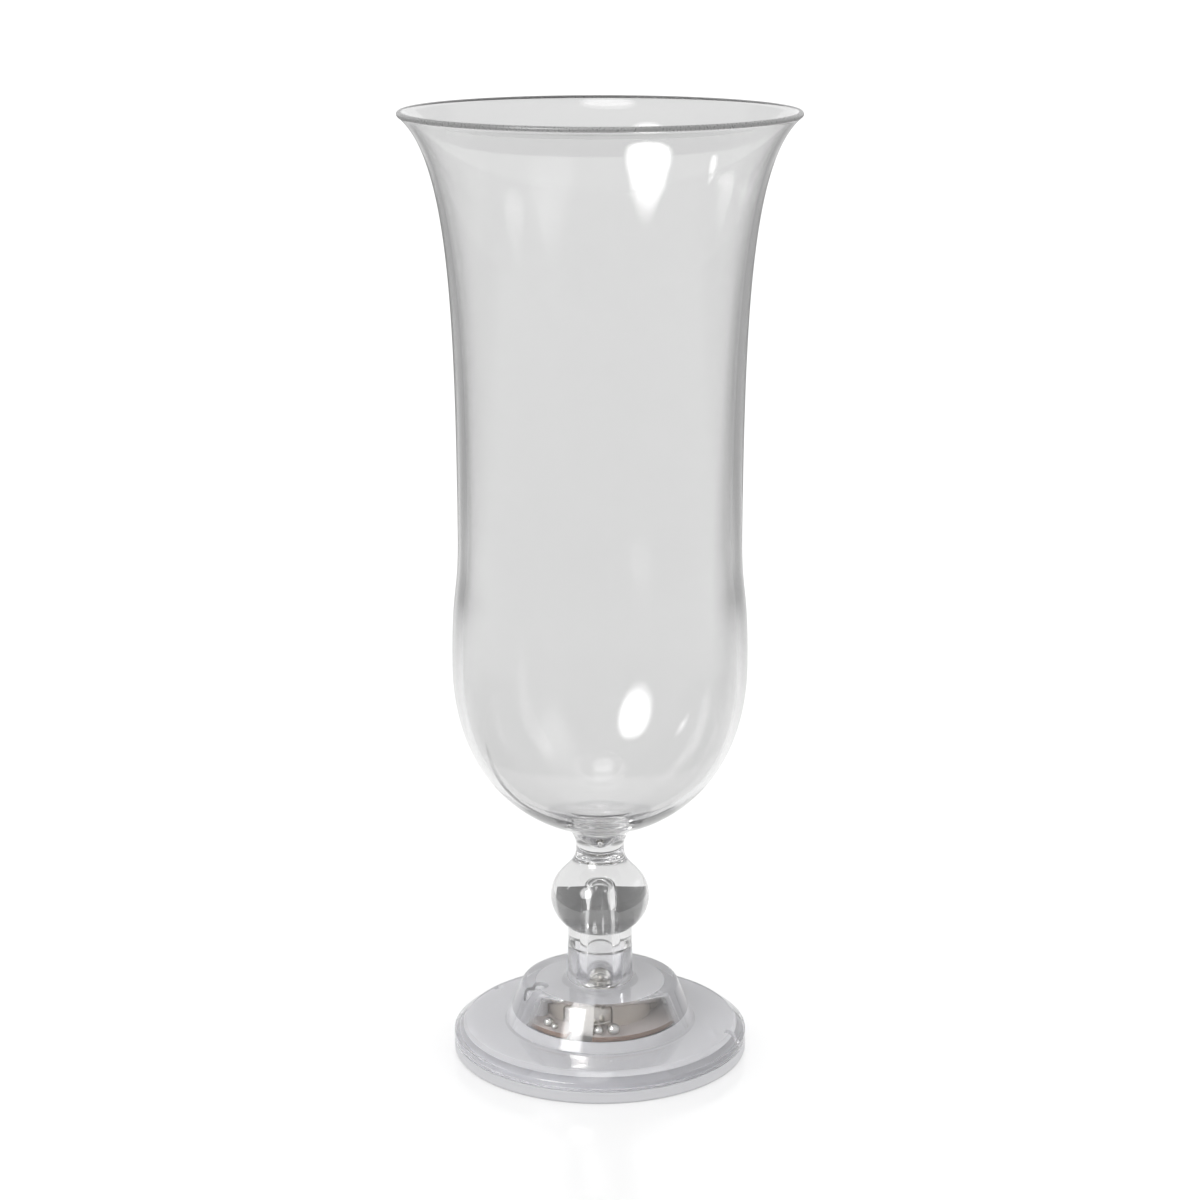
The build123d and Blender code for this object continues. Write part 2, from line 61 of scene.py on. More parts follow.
MM = 0.001
CELL_AZIMUTHS = (-15.0, 105.0, 225.0)
GAP_AZIMUTHS = (45.0, 165.0, 285.0)
SCREW_AZIMUTHS = GAP_AZIMUTHS[1:]
WINDOW_AZIMUTH = 4.0
LUG_AZIMUTHS = (75.0, 233.0)

# Distances at which the points of a turned mesh, and of a CAD mesh, are one point.
WELD = 1e-7
CAD_WELD = 2e-6

# How near a face's middle lies to the outline that it belongs to.
TOUCH = 0.1 * MM
LIP_TOUCH = 1.02

# Depth and width of the lugs in the foot's edge, and of the cover's notches for them.
LUG = (2.5 * MM, 2.0 * MM)
LUG_SHIFT = -0.25 * MM
LUG_REACH = 1.6 * MM
NOTCH = (3.3 * MM, 2.3 * MM)
NOTCH_LIFT = 0.02 * MM

# How far the milky root of the dome covers the edge of the board.
FROST_LAP = 0.2 * MM


# Colours and sizes


def linear(code):
    """Linear red, green and blue of an sRGB hex colour."""
    shares = [int(code[i : i + 2], 16) / 255 for i in (0, 2, 4)]
    return tuple(s / 12.92 if s <= 0.04045 else ((s + 0.055) / 1.055) ** 2.4 for s in shares)


def measured(name, description, metres):
    """Property for one length in metres, as the CAD model gives it."""
    return FloatProperty(
        name=name, description=description, default=metres, min=0.0, precision=5, unit="LENGTH"
    )


def length(name, description, millimetres):
    """Property for one length, with its default in millimetres."""
    return measured(name, description, millimetres * MM)


def angle(name, description, degrees):
    """Property for one angle."""
    return FloatProperty(
        name=name, description=description, default=math.radians(degrees), subtype="ANGLE"
    )


def colour(name, description, code):
    """Property for one colour."""
    return FloatVectorProperty(
        name=name,
        description=description,
        default=linear(code),
        size=3,
        min=0.0,
        max=1.0,
        subtype="COLOR",
    )


class BowlSizes(bpy.types.PropertyGroup):
    """Sizes of the bowl, its neck, its ball and its spigot."""

    steps: IntProperty(name="Steps", description="Steps round the bowl", default=192, min=24)
    height: measured("Height", "Height of the rim over the table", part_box("bowl")[1].z)
    rim: measured("Rim", "Radius of the rim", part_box("bowl")[1].x)
    lip: length("Lip", "Thickness of the rounded lip", 1.3)
    flare: angle("Flare", "Slope of the wall at the lip", 39.5)
    flare_pull: length("Flare pull", "How far the flare keeps its slope", 13.8)
    waist: length("Waist", "Radius of the waist", 31.75)
    waist_height: length("Waist height", "Height of the waist", 122.4)
    waist_up: length("Waist pull up", "How far the waist stays upright above", 50.3)
    waist_down: length("Waist pull down", "How far the waist stays upright below", 14.0)
    bulge: length("Bulge", "Radius of the bulge", 33.3)
    bulge_height: length("Bulge height", "Height of the bulge", 92.7)
    bulge_up: length("Bulge pull up", "How far the bulge stays upright above", 18.4)
    bulge_down: length("Bulge pull down", "How far the bulge stays upright below", 24.5)
    root: angle("Root", "Slope of the bowl where it leaves the neck", 18.1)
    root_pull: length("Root pull", "How far the root keeps its slope", 10.1)
    wall: length("Wall", "Thickness of the bowl's side", 2.2)
    well: angle("Well", "Slope of the well in the middle of the bowl's floor", 45.0)
    well_round: length("Well round", "Rounding at the bottom of the well", 1.0)
    neck: length("Neck", "Radius of the neck", 5.5)
    neck_bottom: length("Neck bottom", "Height of the neck's lower end", 48.4)
    neck_top: length("Neck top", "Height of the neck's upper end", 49.1)
    neck_sweep: length("Neck sweep", "Radius of the sweep into the bowl", 6.1)
    neck_pull: length("Neck pull", "How far the neck stays upright below", 4.6)
    ball: length("Ball", "Radius of the ball", 11.3)
    ball_height: length("Ball height", "Height of the ball's widest ring", 36.9)
    ball_pull: length("Ball pull", "How far the ball stays upright above", 6.5)
    ball_drop: length("Ball drop", "Depth of the ball under its widest ring", 9.4)
    stub: length("Stub", "Radius of the step between ball and collar", 7.35)
    spigot: length("Spigot", "Radius of the spigot in the collar", 5.4)
    spigot_chamfer: length("Spigot chamfer", "Chamfer at the spigot's end", 0.6)
    spigot_bottom: measured("Spigot bottom", "Height of the spigot's end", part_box("bowl")[0].z)
    bore: length("Bore", "Radius of the bore at its mouth", 3.2)
    bore_end: length("Bore end", "Radius of the bore's domed end", 2.45)
    bore_top: length("Bore top", "Height of the bore's tip", 39.4)


class FootSizes(bpy.types.PropertyGroup):
    """Sizes of the foot shell, the base cover, its screws and its button."""

    steps: IntProperty(name="Steps", description="Steps round the foot", default=360, min=24)
    radius: measured("Foot", "Radius of the foot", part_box("foot_shell")[1].x)
    joint: measured("Joint", "Height of the joint in the foot's edge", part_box("foot_shell")[0].z)
    collar_top: measured("Collar top", "Height of the collar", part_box("foot_shell")[1].z)
    joint_gap: length("Joint gap", "Open line between two mouldings", 0.03)
    edge: length("Edge", "Upright band of the shell's edge", 1.9)
    bevel: length("Bevel", "Width of the sloping band", 2.7)
    bevel_drop: length("Bevel drop", "Height of the sloping band", 2.0)
    bevel_round: length("Bevel round", "Rounding of the sloping band", 0.6)
    skirt: length("Skirt", "Thickness of the shell's edge", 2.6)
    disc: length("Disc", "Thickness of the disc", 1.6)
    dome_ceiling: length("Dome ceiling", "Height of the dome's ceiling", 15.0)
    dome: length("Dome", "Thickness of the dome's side", 3.25)
    roof: length("Roof", "Thickness of the dome's roof", 1.5)
    board: measured("Board", "Radius of the circuit board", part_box("circuit_board")[1].x)
    board_gap: length("Board gap", "Clearance round the circuit board", 0.25)
    taper: angle("Taper", "Lean of the dome's side", 23.4)
    shoulder: length("Shoulder", "Rounding of the dome's upper edge", 1.4)
    dome_root: length("Dome root", "Rounding at the dome's foot", 0.8)
    collar: length("Collar", "Radius of the collar", 7.45)
    collar_bore: length("Collar bore", "Radius of the collar's bore", 5.45)
    collar_root: length("Collar root", "Rounding at the collar's foot", 2.2)
    boss: length("Boss", "Radius of the dome's screw bosses", 2.0)
    boss_inset: length("Boss inset", "How far the screws stand in from the board's edge", 3.0)
    pilot: length("Pilot", "Radius of the screw's hole in the boss", 1.05)
    pilot_depth: length("Pilot depth", "Depth of the screw's hole in the boss", 4.5)
    corner: length("Corner", "Easing of the moulded corners", 0.15)
    cover_recess: length("Cover recess", "Height of the cover's floor over the table", 1.2)
    cover_floor: length("Cover floor", "Thickness of the cover's floor", 1.6)
    cover_round: length("Cover round", "Rounding of the edge that stands on the table", 0.7)
    ring: length("Ring", "Width of the ring that the foot stands on", 5.0)
    lip: length("Cover lip", "Thickness of the cover's lip", 1.8)
    lip_height: length("Lip height", "Height of the cover's lip", 1.5)
    lip_fit: length("Lip fit", "Clearance round the cover's lip", 0.15)
    guard: length("Guard", "Inner radius of the ring round the button", 6.5)
    guard_wall: length("Guard wall", "Thickness of the ring round the button", 1.0)
    guard_height: length("Guard height", "Height of the ring round the button", 1.2)
    post: length("Post", "Radius of the cover's screw posts", 3.2)
    head_hole: length("Head hole", "Radius of the hole for a screw's head", 2.1)
    screw_hole: length("Screw hole", "Radius of the hole for a screw", 1.2)
    screw_seat: length("Screw seat", "Height of the face that a screw's head pulls on", 3.0)
    head: length("Screw head", "Radius of a screw's head", 1.9)
    head_height: length("Head height", "Height of a screw's head", 1.3)
    shank: length("Shank", "Outer radius of a screw's thread", 1.0)
    thread: length("Thread", "Depth of a screw's thread", 0.26)
    pitch: length("Pitch", "Rise of a screw's thread in one turn", 0.8)
    button: length("Button", "Radius of the button", 5.0)
    button_hole: length("Button hole", "Radius of the hole for the button", 5.2)
    button_flange: length("Button flange", "Radius of the button's flange", 6.2)
    button_dish: length("Button dish", "Depth of the button's dished face", 0.4)
    button_flange_height: length("Button flange height", "Thickness of the button's flange", 0.6)


class LightSizes(bpy.types.PropertyGroup):
    """Sizes of the lit works in the foot."""

    cell: length("Cell", "Radius of a button cell", 5.8)
    cell_height: length("Cell height", "Height of a button cell", 5.4)
    cell_cap: length("Cell cap", "Radius of a cell's cap", 4.8)
    cell_cap_height: length("Cell cap height", "Height of a cell's cap", 0.4)
    cell_round: length("Cell round", "Rounding of a cell's edge", 0.45)
    cell_circle: length("Cell circle", "Radius on which the cells stand", 8.12)
    crimp: length("Crimp", "Depth of the groove under a cell's crimp", 0.12)
    led: length("LED", "Radius of the LED", 2.4)
    led_flange: length("LED flange", "Radius of the LED's flange", 2.8)
    led_flange_height: length("LED flange height", "Height of the LED's flange", 1.0)
    led_pitch: length("LED pitch", "Distance between the LED's leads", 2.54)
    resistor: length("Resistor", "Length of a chip resistor", 2.0)
    resistor_width: length("Resistor width", "Width of a chip resistor", 1.25)
    resistor_height: length("Resistor height", "Height of a chip resistor", 0.55)
    terminal: length("Terminal", "Length of a chip resistor's tinned end", 0.4)
    resistor_step: angle("Resistor step", "Turn between two chip resistors", 15.0)


class Finishes(bpy.types.PropertyGroup):
    """Colours of the materials."""

    clear: colour("Clear plastic", "What two faces of the clear plastic let through", "ECECEC")
    clear_foot: colour("Clear foot", "What two faces of the foot's plastic let through", "FAFAFC")
    frosted: colour("Frosted plastic", "Milky plastic of the cover", "E6E6E9")
    # The flanks are darker than the clear front; the difference is painted shade.
    flank: colour("Dome's flanks", "Milky sides of the foot's dome, darkened as painted shade", "C9C9CD")
    # The lip's grey is painted shade, for the dark line along the rim.
    lip: colour("Lip", "Satin edge of the bowl's lip, greyed as painted shade", "A6A6A6")
    # The edge's inner wall is darker than the cover; the difference is painted shade.
    edge: colour("Foot's edge", "Milky inner wall of the foot's edge, darkened as painted shade", "D6D6DA")
    phenolic: colour("Phenolic", "Cut edge of the paper board", "A88C7A")
    phenolic_dark: colour("Phenolic fibre", "Fibres in the paper board", "846A5B")
    board_face: colour("Board face", "Pale lacquer on the board's upper face", "CFC6C0")
    taupe: colour("Holder", "Taupe plastic of the cell holder", "CBC2B6")
    nickel: colour("Nickel", "Bright nickel plate of the contacts", "F2EFE8")
    can: colour("Cell can", "Drawn nickel-plated can of the cells", "E4E0D7")
    zinc: colour("Zinc", "Zinc-plated steel", "B4B6B8")
    tin: colour("Solder", "Tin solder", "D6D5D0")
    epoxy: colour("LED epoxy", "Clear epoxy of the LED", "F4F3EC")
    resin: colour("Chip resin", "Black resin over the chip", "17171A")
    alumina: colour("Resistor", "Dark glaze of the chip resistors", "1E1E22")
    switch: colour("Switch", "Black plastic of the switch", "1B1B1D")
    button: colour("Button", "White plastic of the button", "E4E3DE")
    floor: colour("Floor", "Floor of the studio", "E7E7E7")


class GlassSettings(bpy.types.PropertyGroup):
    """All settings of the glass."""

    bowl: PointerProperty(type=BowlSizes)
    foot: PointerProperty(type=FootSizes)
    works: PointerProperty(type=LightSizes)
    finish: PointerProperty(type=Finishes)


# Outlines of turned pieces, as (radius, height) points


def bezier(start, first, second, end, count):
    """Points along a cubic curve, without its end."""
    points = []
    for i in range(count):
        t = i / count
        u = 1 - t
        weights = (u**3, 3 * u * u * t, 3 * u * t * t, t**3)
        places = (start, first, second, end)
        points.append(tuple(sum(w * p[k] for w, p in zip(weights, places)) for k in (0, 1)))
    return points


def arc(centre, radii, start, end, count):
    """Points along an elliptical arc in degrees, without its end."""
    points = []
    for i in range(count):
        turn = math.radians(start + (end - start) * i / count)
        across, up = radii[0] * math.cos(turn), radii[1] * math.sin(turn)
        points.append((centre[0] + across, centre[1] + up))
    return points


def along(point, slope, distance):
    """Point at a distance from another, in a direction in radians above the horizontal."""
    return (point[0] + distance * math.cos(slope), point[1] + distance * math.sin(slope))


def eased(corners, closed=True):
    """Points along a polygon of (radius, height, rounding) corners."""
    points = []
    count = len(corners)
    for i, (x, y, rounding) in enumerate(corners):
        here = Vector((x, y))
        if rounding <= 0 or (not closed and i in (0, count - 1)):
            points.append((x, y))
            continue
        back = (Vector(corners[i - 1][:2]) - here).normalized()
        ahead = (Vector(corners[(i + 1) % count][:2]) - here).normalized()
        half = back.angle(ahead) / 2
        reach = rounding / math.tan(half)
        middle = here + (back + ahead).normalized() * rounding / math.sin(half)
        start = here + back * reach - middle
        end = here + ahead * reach - middle
        turn = start.angle_signed(end)
        steps = max(3, int(abs(math.degrees(turn)) / 9))
        for k in range(steps + 1):
            spoke = start.copy()
            spoke.rotate(Matrix.Rotation(-turn * k / steps, 2))
            points.append(tuple(middle + spoke))
    if closed:
        points.append(points[0])
    return points


# Making of meshes


def add(tree, kind, sockets=None, **settings):
    """Adds a node with its settings, and sets or links its sockets."""
    node = tree.nodes.new(kind)
    for name, value in settings.items():
        setattr(node, name, value)
    for key, value in (sockets or {}).items():
        if isinstance(value, bpy.types.Node):
            value = value.outputs[0]
        if isinstance(value, bpy.types.NodeSocket):
            tree.links.new(value, node.inputs[key])
        else:
            node.inputs[key].default_value = value
    return node


def new_tree(name, inputs):
    """Empty Geometry Nodes tree with named inputs, and its input sockets."""
    tree = bpy.data.node_groups.new(name, "GeometryNodeTree")
    for label, kind in inputs.items():
        tree.interface.new_socket(label, in_out="INPUT", socket_type="NodeSocket" + kind)
    tree.interface.new_socket("Piece", in_out="OUTPUT", socket_type="NodeSocketGeometry")
    return tree, add(tree, "NodeGroupInput").outputs


def finish_tree(tree, geometry, finish):
    """Ends a tree with real geometry in one material."""
    real = add(tree, "GeometryNodeRealizeInstances", {"Geometry": geometry})
    done = add(tree, "GeometryNodeSetMaterial", {"Geometry": real, "Material": finish})
    add(tree, "NodeGroupOutput", {"Piece": done})
    return tree


def turning_tree():
    """Tree that turns an outline of (radius, 0, height) points about the axis."""
    name = "turned form"
    if name in bpy.data.node_groups:
        return bpy.data.node_groups[name]
    tree, given = new_tree(name, {"Outline": "Geometry", "Steps": "Int", "Finish": "Material"})
    outline, steps = given["Outline"], given["Steps"]
    rows = add(tree, "GeometryNodeAttributeDomainSize", {0: outline}).outputs["Point Count"]
    columns = add(tree, "FunctionNodeIntegerMath", {0: steps, 1: 1}, operation="ADD")
    grid = add(tree, "GeometryNodeMeshGrid", {"Vertices X": columns, "Vertices Y": rows})
    index = add(tree, "GeometryNodeInputIndex")
    row = add(tree, "FunctionNodeIntegerMath", {0: index, 1: rows}, operation="MODULO")
    column = add(tree, "FunctionNodeIntegerMath", {0: index, 1: rows}, operation="DIVIDE_FLOOR")
    share = add(tree, "ShaderNodeMath", {0: column, 1: steps}, operation="DIVIDE")
    turn = add(tree, "ShaderNodeMath", {0: share, 1: 2 * math.pi}, operation="MULTIPLY")
    place = add(tree, "GeometryNodeInputPosition")
    sample = {"Geometry": outline, "Value": place, "Index": row}
    point = add(tree, "GeometryNodeSampleIndex", sample, data_type="FLOAT_VECTOR", domain="POINT")
    spin = {"Vector": point, "Angle": turn}
    spun = add(tree, "ShaderNodeVectorRotate", spin, rotation_type="Z_AXIS")
    moved = add(tree, "GeometryNodeSetPosition", {"Geometry": grid, "Position": spun})
    closed = add(tree, "GeometryNodeMergeByDistance", {"Geometry": moved, "Distance": WELD})
    return finish_tree(tree, closed, given["Finish"])


def copies_tree():
    """Tree that repeats a piece round the axis, each copy turned to face outward."""
    name = "copies round the axis"
    if name in bpy.data.node_groups:
        return bpy.data.node_groups[name]
    inputs = {
        "Copy": "Geometry",
        "Count": "Int",
        "Radius": "Float",
        "First azimuth": "Float",
        "Step": "Float",
        "Finish": "Material",
    }
    tree, given = new_tree(name, inputs)
    line = add(tree, "GeometryNodeMeshLine", {"Count": given["Count"]})
    index = add(tree, "GeometryNodeInputIndex")
    azimuth = {0: index, 1: given["Step"], 2: given["First azimuth"]}
    turn = add(tree, "ShaderNodeMath", azimuth, operation="MULTIPLY_ADD")
    outward = add(tree, "ShaderNodeMath", {0: turn, 1: math.pi / 2}, operation="SUBTRACT")
    arm = add(tree, "ShaderNodeCombineXYZ", {"X": given["Radius"]})
    swing = {"Vector": arm, "Angle": outward}
    spot = add(tree, "ShaderNodeVectorRotate", swing, rotation_type="Z_AXIS")
    points = add(tree, "GeometryNodeSetPosition", {"Geometry": line, "Position": spot})
    spin = add(tree, "ShaderNodeCombineXYZ", {"Z": outward})
    placed = {"Points": points, "Instance": given["Copy"], "Rotation": spin}
    copies = add(tree, "GeometryNodeInstanceOnPoints", placed)
    return finish_tree(tree, copies, given["Finish"])


def drops_tree():
    """Tree that sets a drop of solder on each point, sized by the point and a little flat."""
    name = "solder drops"
    if name in bpy.data.node_groups:
        return bpy.data.node_groups[name]
    inputs = {"Points": "Geometry", "Flatness": "Float", "Seed": "Int", "Finish": "Material"}
    tree, given = new_tree(name, inputs)
    drop = add(tree, "GeometryNodeMeshUVSphere", {"Segments": 32, "Rings": 20, "Radius": 1.0})
    size = add(tree, "GeometryNodeInputNamedAttribute", {"Name": "size"}, data_type="FLOAT")
    low = add(tree, "ShaderNodeMath", {0: size, 1: given["Flatness"]}, operation="MULTIPLY")
    scale = add(tree, "ShaderNodeCombineXYZ", {"X": size, "Y": size, "Z": low})
    turns = {"Min": (0, 0, 0), "Max": (0, 0, 6.28), "Seed": given["Seed"]}
    spin = add(tree, "FunctionNodeRandomValue", turns, data_type="FLOAT_VECTOR")
    placed = {"Points": given["Points"], "Instance": drop, "Rotation": spin, "Scale": scale}
    copies = add(tree, "GeometryNodeInstanceOnPoints", placed)
    return finish_tree(tree, copies, given["Finish"])


def linked(name, mesh):
    """New object of the scene with a mesh."""
    piece = bpy.data.objects.new(name, mesh)
    bpy.context.scene.collection.objects.link(piece)
    return piece


def plain(piece):
    """Turns what a piece's modifiers make into its own mesh."""
    graph = bpy.context.evaluated_depsgraph_get()
    mesh = bpy.data.meshes.new_from_object(piece.evaluated_get(graph), depsgraph=graph)
    piece.modifiers.clear()
    piece.data = mesh
    mesh.name = piece.name
    return piece


def painted(piece, finish):
    """Gives a whole piece one material."""
    mesh = piece.data
    mesh.materials.clear()
    mesh.materials.append(finish)
    mesh.polygons.foreach_set("material_index", [0] * len(mesh.polygons))
    return piece


def grown(piece, tree, inputs):
    """Runs a tree on a piece with its named inputs, and keeps the result as its mesh."""
    maker = piece.modifiers.new(tree.name, "NODES")
    maker.node_group = tree
    for item in tree.interface.items_tree:
        if item.in_out == "INPUT" and item.name in inputs:
            maker[item.identifier] = inputs[item.name]
    return painted(plain(piece), inputs["Finish"])


def smoothed(piece, crease=32.0):
    """Closes a mesh, turns its faces outward and shades it smooth up to a crease in degrees."""
    shape = bmesh.new()
    shape.from_mesh(piece.data)
    bmesh.ops.remove_doubles(shape, verts=shape.verts, dist=WELD)
    bmesh.ops.recalc_face_normals(shape, faces=shape.faces)
    shape.to_mesh(piece.data)
    shape.free()
    piece.data.shade_smooth()
    piece.data.set_sharp_from_angle(angle=math.radians(crease))
    return piece


def turned(name, outline, steps, finish):
    """Piece turned about the axis from (radius, height) points."""
    mesh = bpy.data.meshes.new(name)
    mesh.from_pydata(
        [(radius, 0, height) for radius, height in outline],
        [(i, i + 1) for i in range(len(outline) - 1)],
        [],
    )
    piece = grown(linked(name, mesh), turning_tree(), {"Steps": steps, "Finish": finish})
    return smoothed(piece)


def facing(azimuth, radius, height=0.0):
    """Matrix whose +X points outward, at a radius and azimuth round the axis."""
    turn = Matrix.Rotation(math.radians(azimuth - 90), 4, "Z")
    return turn @ Matrix.Translation((radius, 0, height))


def cut(piece, operation, tools):
    """Joins tools to a piece or cuts them from it, and keeps its material."""
    finish = piece.data.materials[0]
    for tool in tools:
        change = piece.modifiers.new(operation, "BOOLEAN")
        change.operation = operation
        change.solver = "EXACT"
        change.object = tool
    plain(piece)
    for tool in tools:
        bpy.data.objects.remove(tool)
    return smoothed(painted(piece, finish))


def rod(radius, bottom, top, place, steps=48):
    """Upright cylinder used as a tool, at a place."""
    shape = bmesh.new()
    bmesh.ops.create_cone(
        shape, cap_ends=True, segments=steps, radius1=radius, radius2=radius, depth=top - bottom
    )
    shape.transform(place @ Matrix.Translation((0, 0, (bottom + top) / 2)))
    mesh = bpy.data.meshes.new("rod")
    shape.to_mesh(mesh)
    shape.free()
    return linked("rod", mesh)


def bar(size, centre, place):
    """Block used as a tool, at a place."""
    shape = bmesh.new()
    bmesh.ops.create_cube(shape, size=1.0)
    shape.transform(place @ Matrix.Translation(centre) @ Matrix.Diagonal((*size, 1)))
    mesh = bpy.data.meshes.new("bar")
    shape.to_mesh(mesh)
    shape.free()
    return linked("bar", mesh)


def eased_copy(name, node, easing, finish, crease=35.0):
    """Merged copy of a CAD node with eased corners, as a mould or a punch leaves them."""
    piece = linked(name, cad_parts[node].data.copy())
    shape = bmesh.new()
    shape.from_mesh(piece.data)
    bmesh.ops.remove_doubles(shape, verts=shape.verts, dist=CAD_WELD)
    flat = math.radians(1.0)
    bmesh.ops.dissolve_limit(shape, angle_limit=flat, verts=shape.verts, edges=shape.edges)
    shape.to_mesh(piece.data)
    shape.free()
    bevel = piece.modifiers.new("eased corners", "BEVEL")
    bevel.width = easing
    bevel.segments = 2
    bevel.limit_method = "ANGLE"
    bevel.angle_limit = math.radians(40)
    painted(plain(piece), finish)
    piece.data.shade_smooth()
    piece.data.set_sharp_from_angle(angle=math.radians(crease))
    return piece


def fitted(piece, slot, *nodes, body="glass"):
    """Ties a piece to its body and hides the CAD nodes that it stands for; the slot is not used."""
    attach(piece, body)
    if nodes:
        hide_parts(*nodes)
    return piece


def fitted_copy(name, node, easing, finish, slot, body="glass"):
    """Eased copy of a CAD node, tied to its body; the slot is not used."""
    return fitted(eased_copy(name, node, easing, finish), slot, node, body=body)


# Materials


PLASTIC_IOR = 1.58
EPOXY_IOR = 1.54

# Grain of a blasted mould. The real one is about a tenth of this and would not show.
BLAST_GRAIN = 0.35 * MM

# Stretch of the marks on a metal that was rolled or drawn upright, and on one that was not.
DRAWN = (1.0, 1.0, 0.12)
EVEN = (1.0, 1.0, 1.0)


def new_material(name):
    """Material with an empty tree, the tree, and its Object coordinates."""
    material = bpy.data.materials.new(name)
    material.use_nodes = True
    tree = material.node_tree
    tree.nodes.clear()
    return material, tree, add(tree, "ShaderNodeTexCoord").outputs["Object"]


def known(name):
    """Material that another piece already made, or None."""
    return bpy.data.materials.get(name)


def opaque(shade, share=1.0):
    """Colour with an alpha of 1, at a share of its brightness."""
    return (*(min(1.0, share * part) for part in shade), 1.0)


def clear_polystyrene(name, shade, ripple):
    # Injection-moulded clear polystyrene: glossy and a little grey in depth, with faint flow
    # ripples 25 mm long from the gate. Rubbing marks are too fine to show, so they are drawn
    # as patches of haze 9 mm across.
    if known(name):
        return known(name)
    material, tree, place = new_material(name)
    flow = add(tree, "ShaderNodeMapping", {"Vector": place, "Scale": (1.0, 1.0, 0.35)})
    waves = {"Vector": flow, "Scale": 1 / (25 * MM), "Detail": 1.0}
    ripples = add(tree, "ShaderNodeTexNoise", waves)
    rubs = {"Vector": place, "Scale": 1 / (9 * MM), "Detail": 4.0}
    haze = add(tree, "ShaderNodeTexNoise", rubs)
    rough = add(tree, "ShaderNodeMapRange", {0: haze, 1: 0.4, 2: 0.75, 3: 0.0, 4: 0.03})
    relief = {"Height": ripples, "Strength": ripple, "Distance": 0.3 * MM}
    paint = {
        "Base Color": opaque(shade),
        "Roughness": rough,
        "IOR": PLASTIC_IOR,
        "Transmission Weight": 1.0,
        "Normal": add(tree, "ShaderNodeBump", relief),
    }
    surface = add(tree, "ShaderNodeBsdfPrincipled", paint)
    grey = {"Color": (0.5, 0.5, 0.5, 1), "Density": 9.0}
    depth = add(tree, "ShaderNodeVolumeAbsorption", grey)
    add(tree, "ShaderNodeOutputMaterial", {"Surface": surface, "Volume": depth})
    return material


def frosted_polystyrene(name, shade, clearness, roughness):
    # Polystyrene from a blasted mould: its fine grain scatters light, so it looks milky
    # and shows only what lies close behind it.
    if known(name):
        return known(name)
    material, tree, place = new_material(name)
    blast = {"Vector": place, "Scale": 1 / BLAST_GRAIN, "Detail": 2.0}
    grain = add(tree, "ShaderNodeTexNoise", blast)
    spread = {0: grain, 1: 0.3, 2: 0.7, 3: roughness - 0.06, 4: roughness + 0.06}
    paint = {
        "Base Color": opaque(shade),
        "Roughness": add(tree, "ShaderNodeMapRange", spread),
        "IOR": PLASTIC_IOR,
        "Transmission Weight": clearness,
    }
    surface = add(tree, "ShaderNodeBsdfPrincipled", paint)
    add(tree, "ShaderNodeOutputMaterial", {"Surface": surface})
    return material


def windowed_polystyrene(name, shade, front_shade, clearness, roughness):
    # Blasted polystyrene with a polished front: milky round the sides, and clear where the light
    # works show through it. The sides take a darker colour than the front, which is painted shade.
    # The polish starts and ends at these cosines from its middle.
    starts, ends, ragged = 0.36, 0.62, 0.04
    if known(name):
        return known(name)
    material, tree, place = new_material(name)
    flat = add(tree, "ShaderNodeVectorMath", {0: place, 1: (1.0, 1.0, 0.0)}, operation="MULTIPLY")
    out = add(tree, "ShaderNodeVectorMath", {0: flat}, operation="NORMALIZE")
    front = {0: out, 1: facing(WINDOW_AZIMUTH, 1.0).translation.normalized()}
    turn = add(tree, "ShaderNodeVectorMath", front, operation="DOT_PRODUCT").outputs["Value"]
    blast = {"Vector": place, "Scale": 1 / BLAST_GRAIN, "Detail": 2.0}
    grain = add(tree, "ShaderNodeTexNoise", blast)
    stray = add(tree, "ShaderNodeMapRange", {0: grain, 3: -ragged, 4: ragged})
    edge = add(tree, "ShaderNodeMath", {0: turn, 1: stray}, operation="ADD")
    polish = add(tree, "ShaderNodeMapRange", {0: edge, 1: starts, 2: ends})
    shades = {0: polish, 6: opaque(shade), 7: opaque(front_shade)}
    paint = {
        "Base Color": add(tree, "ShaderNodeMix", shades, data_type="RGBA").outputs[2],
        "Roughness": add(tree, "ShaderNodeMapRange", {0: polish, 3: roughness, 4: 0.0}),
        "IOR": PLASTIC_IOR,
        "Transmission Weight": add(tree, "ShaderNodeMapRange", {0: polish, 3: clearness, 4: 1.0}),
    }
    surface = add(tree, "ShaderNodeBsdfPrincipled", paint)
    add(tree, "ShaderNodeOutputMaterial", {"Surface": surface})
    return material


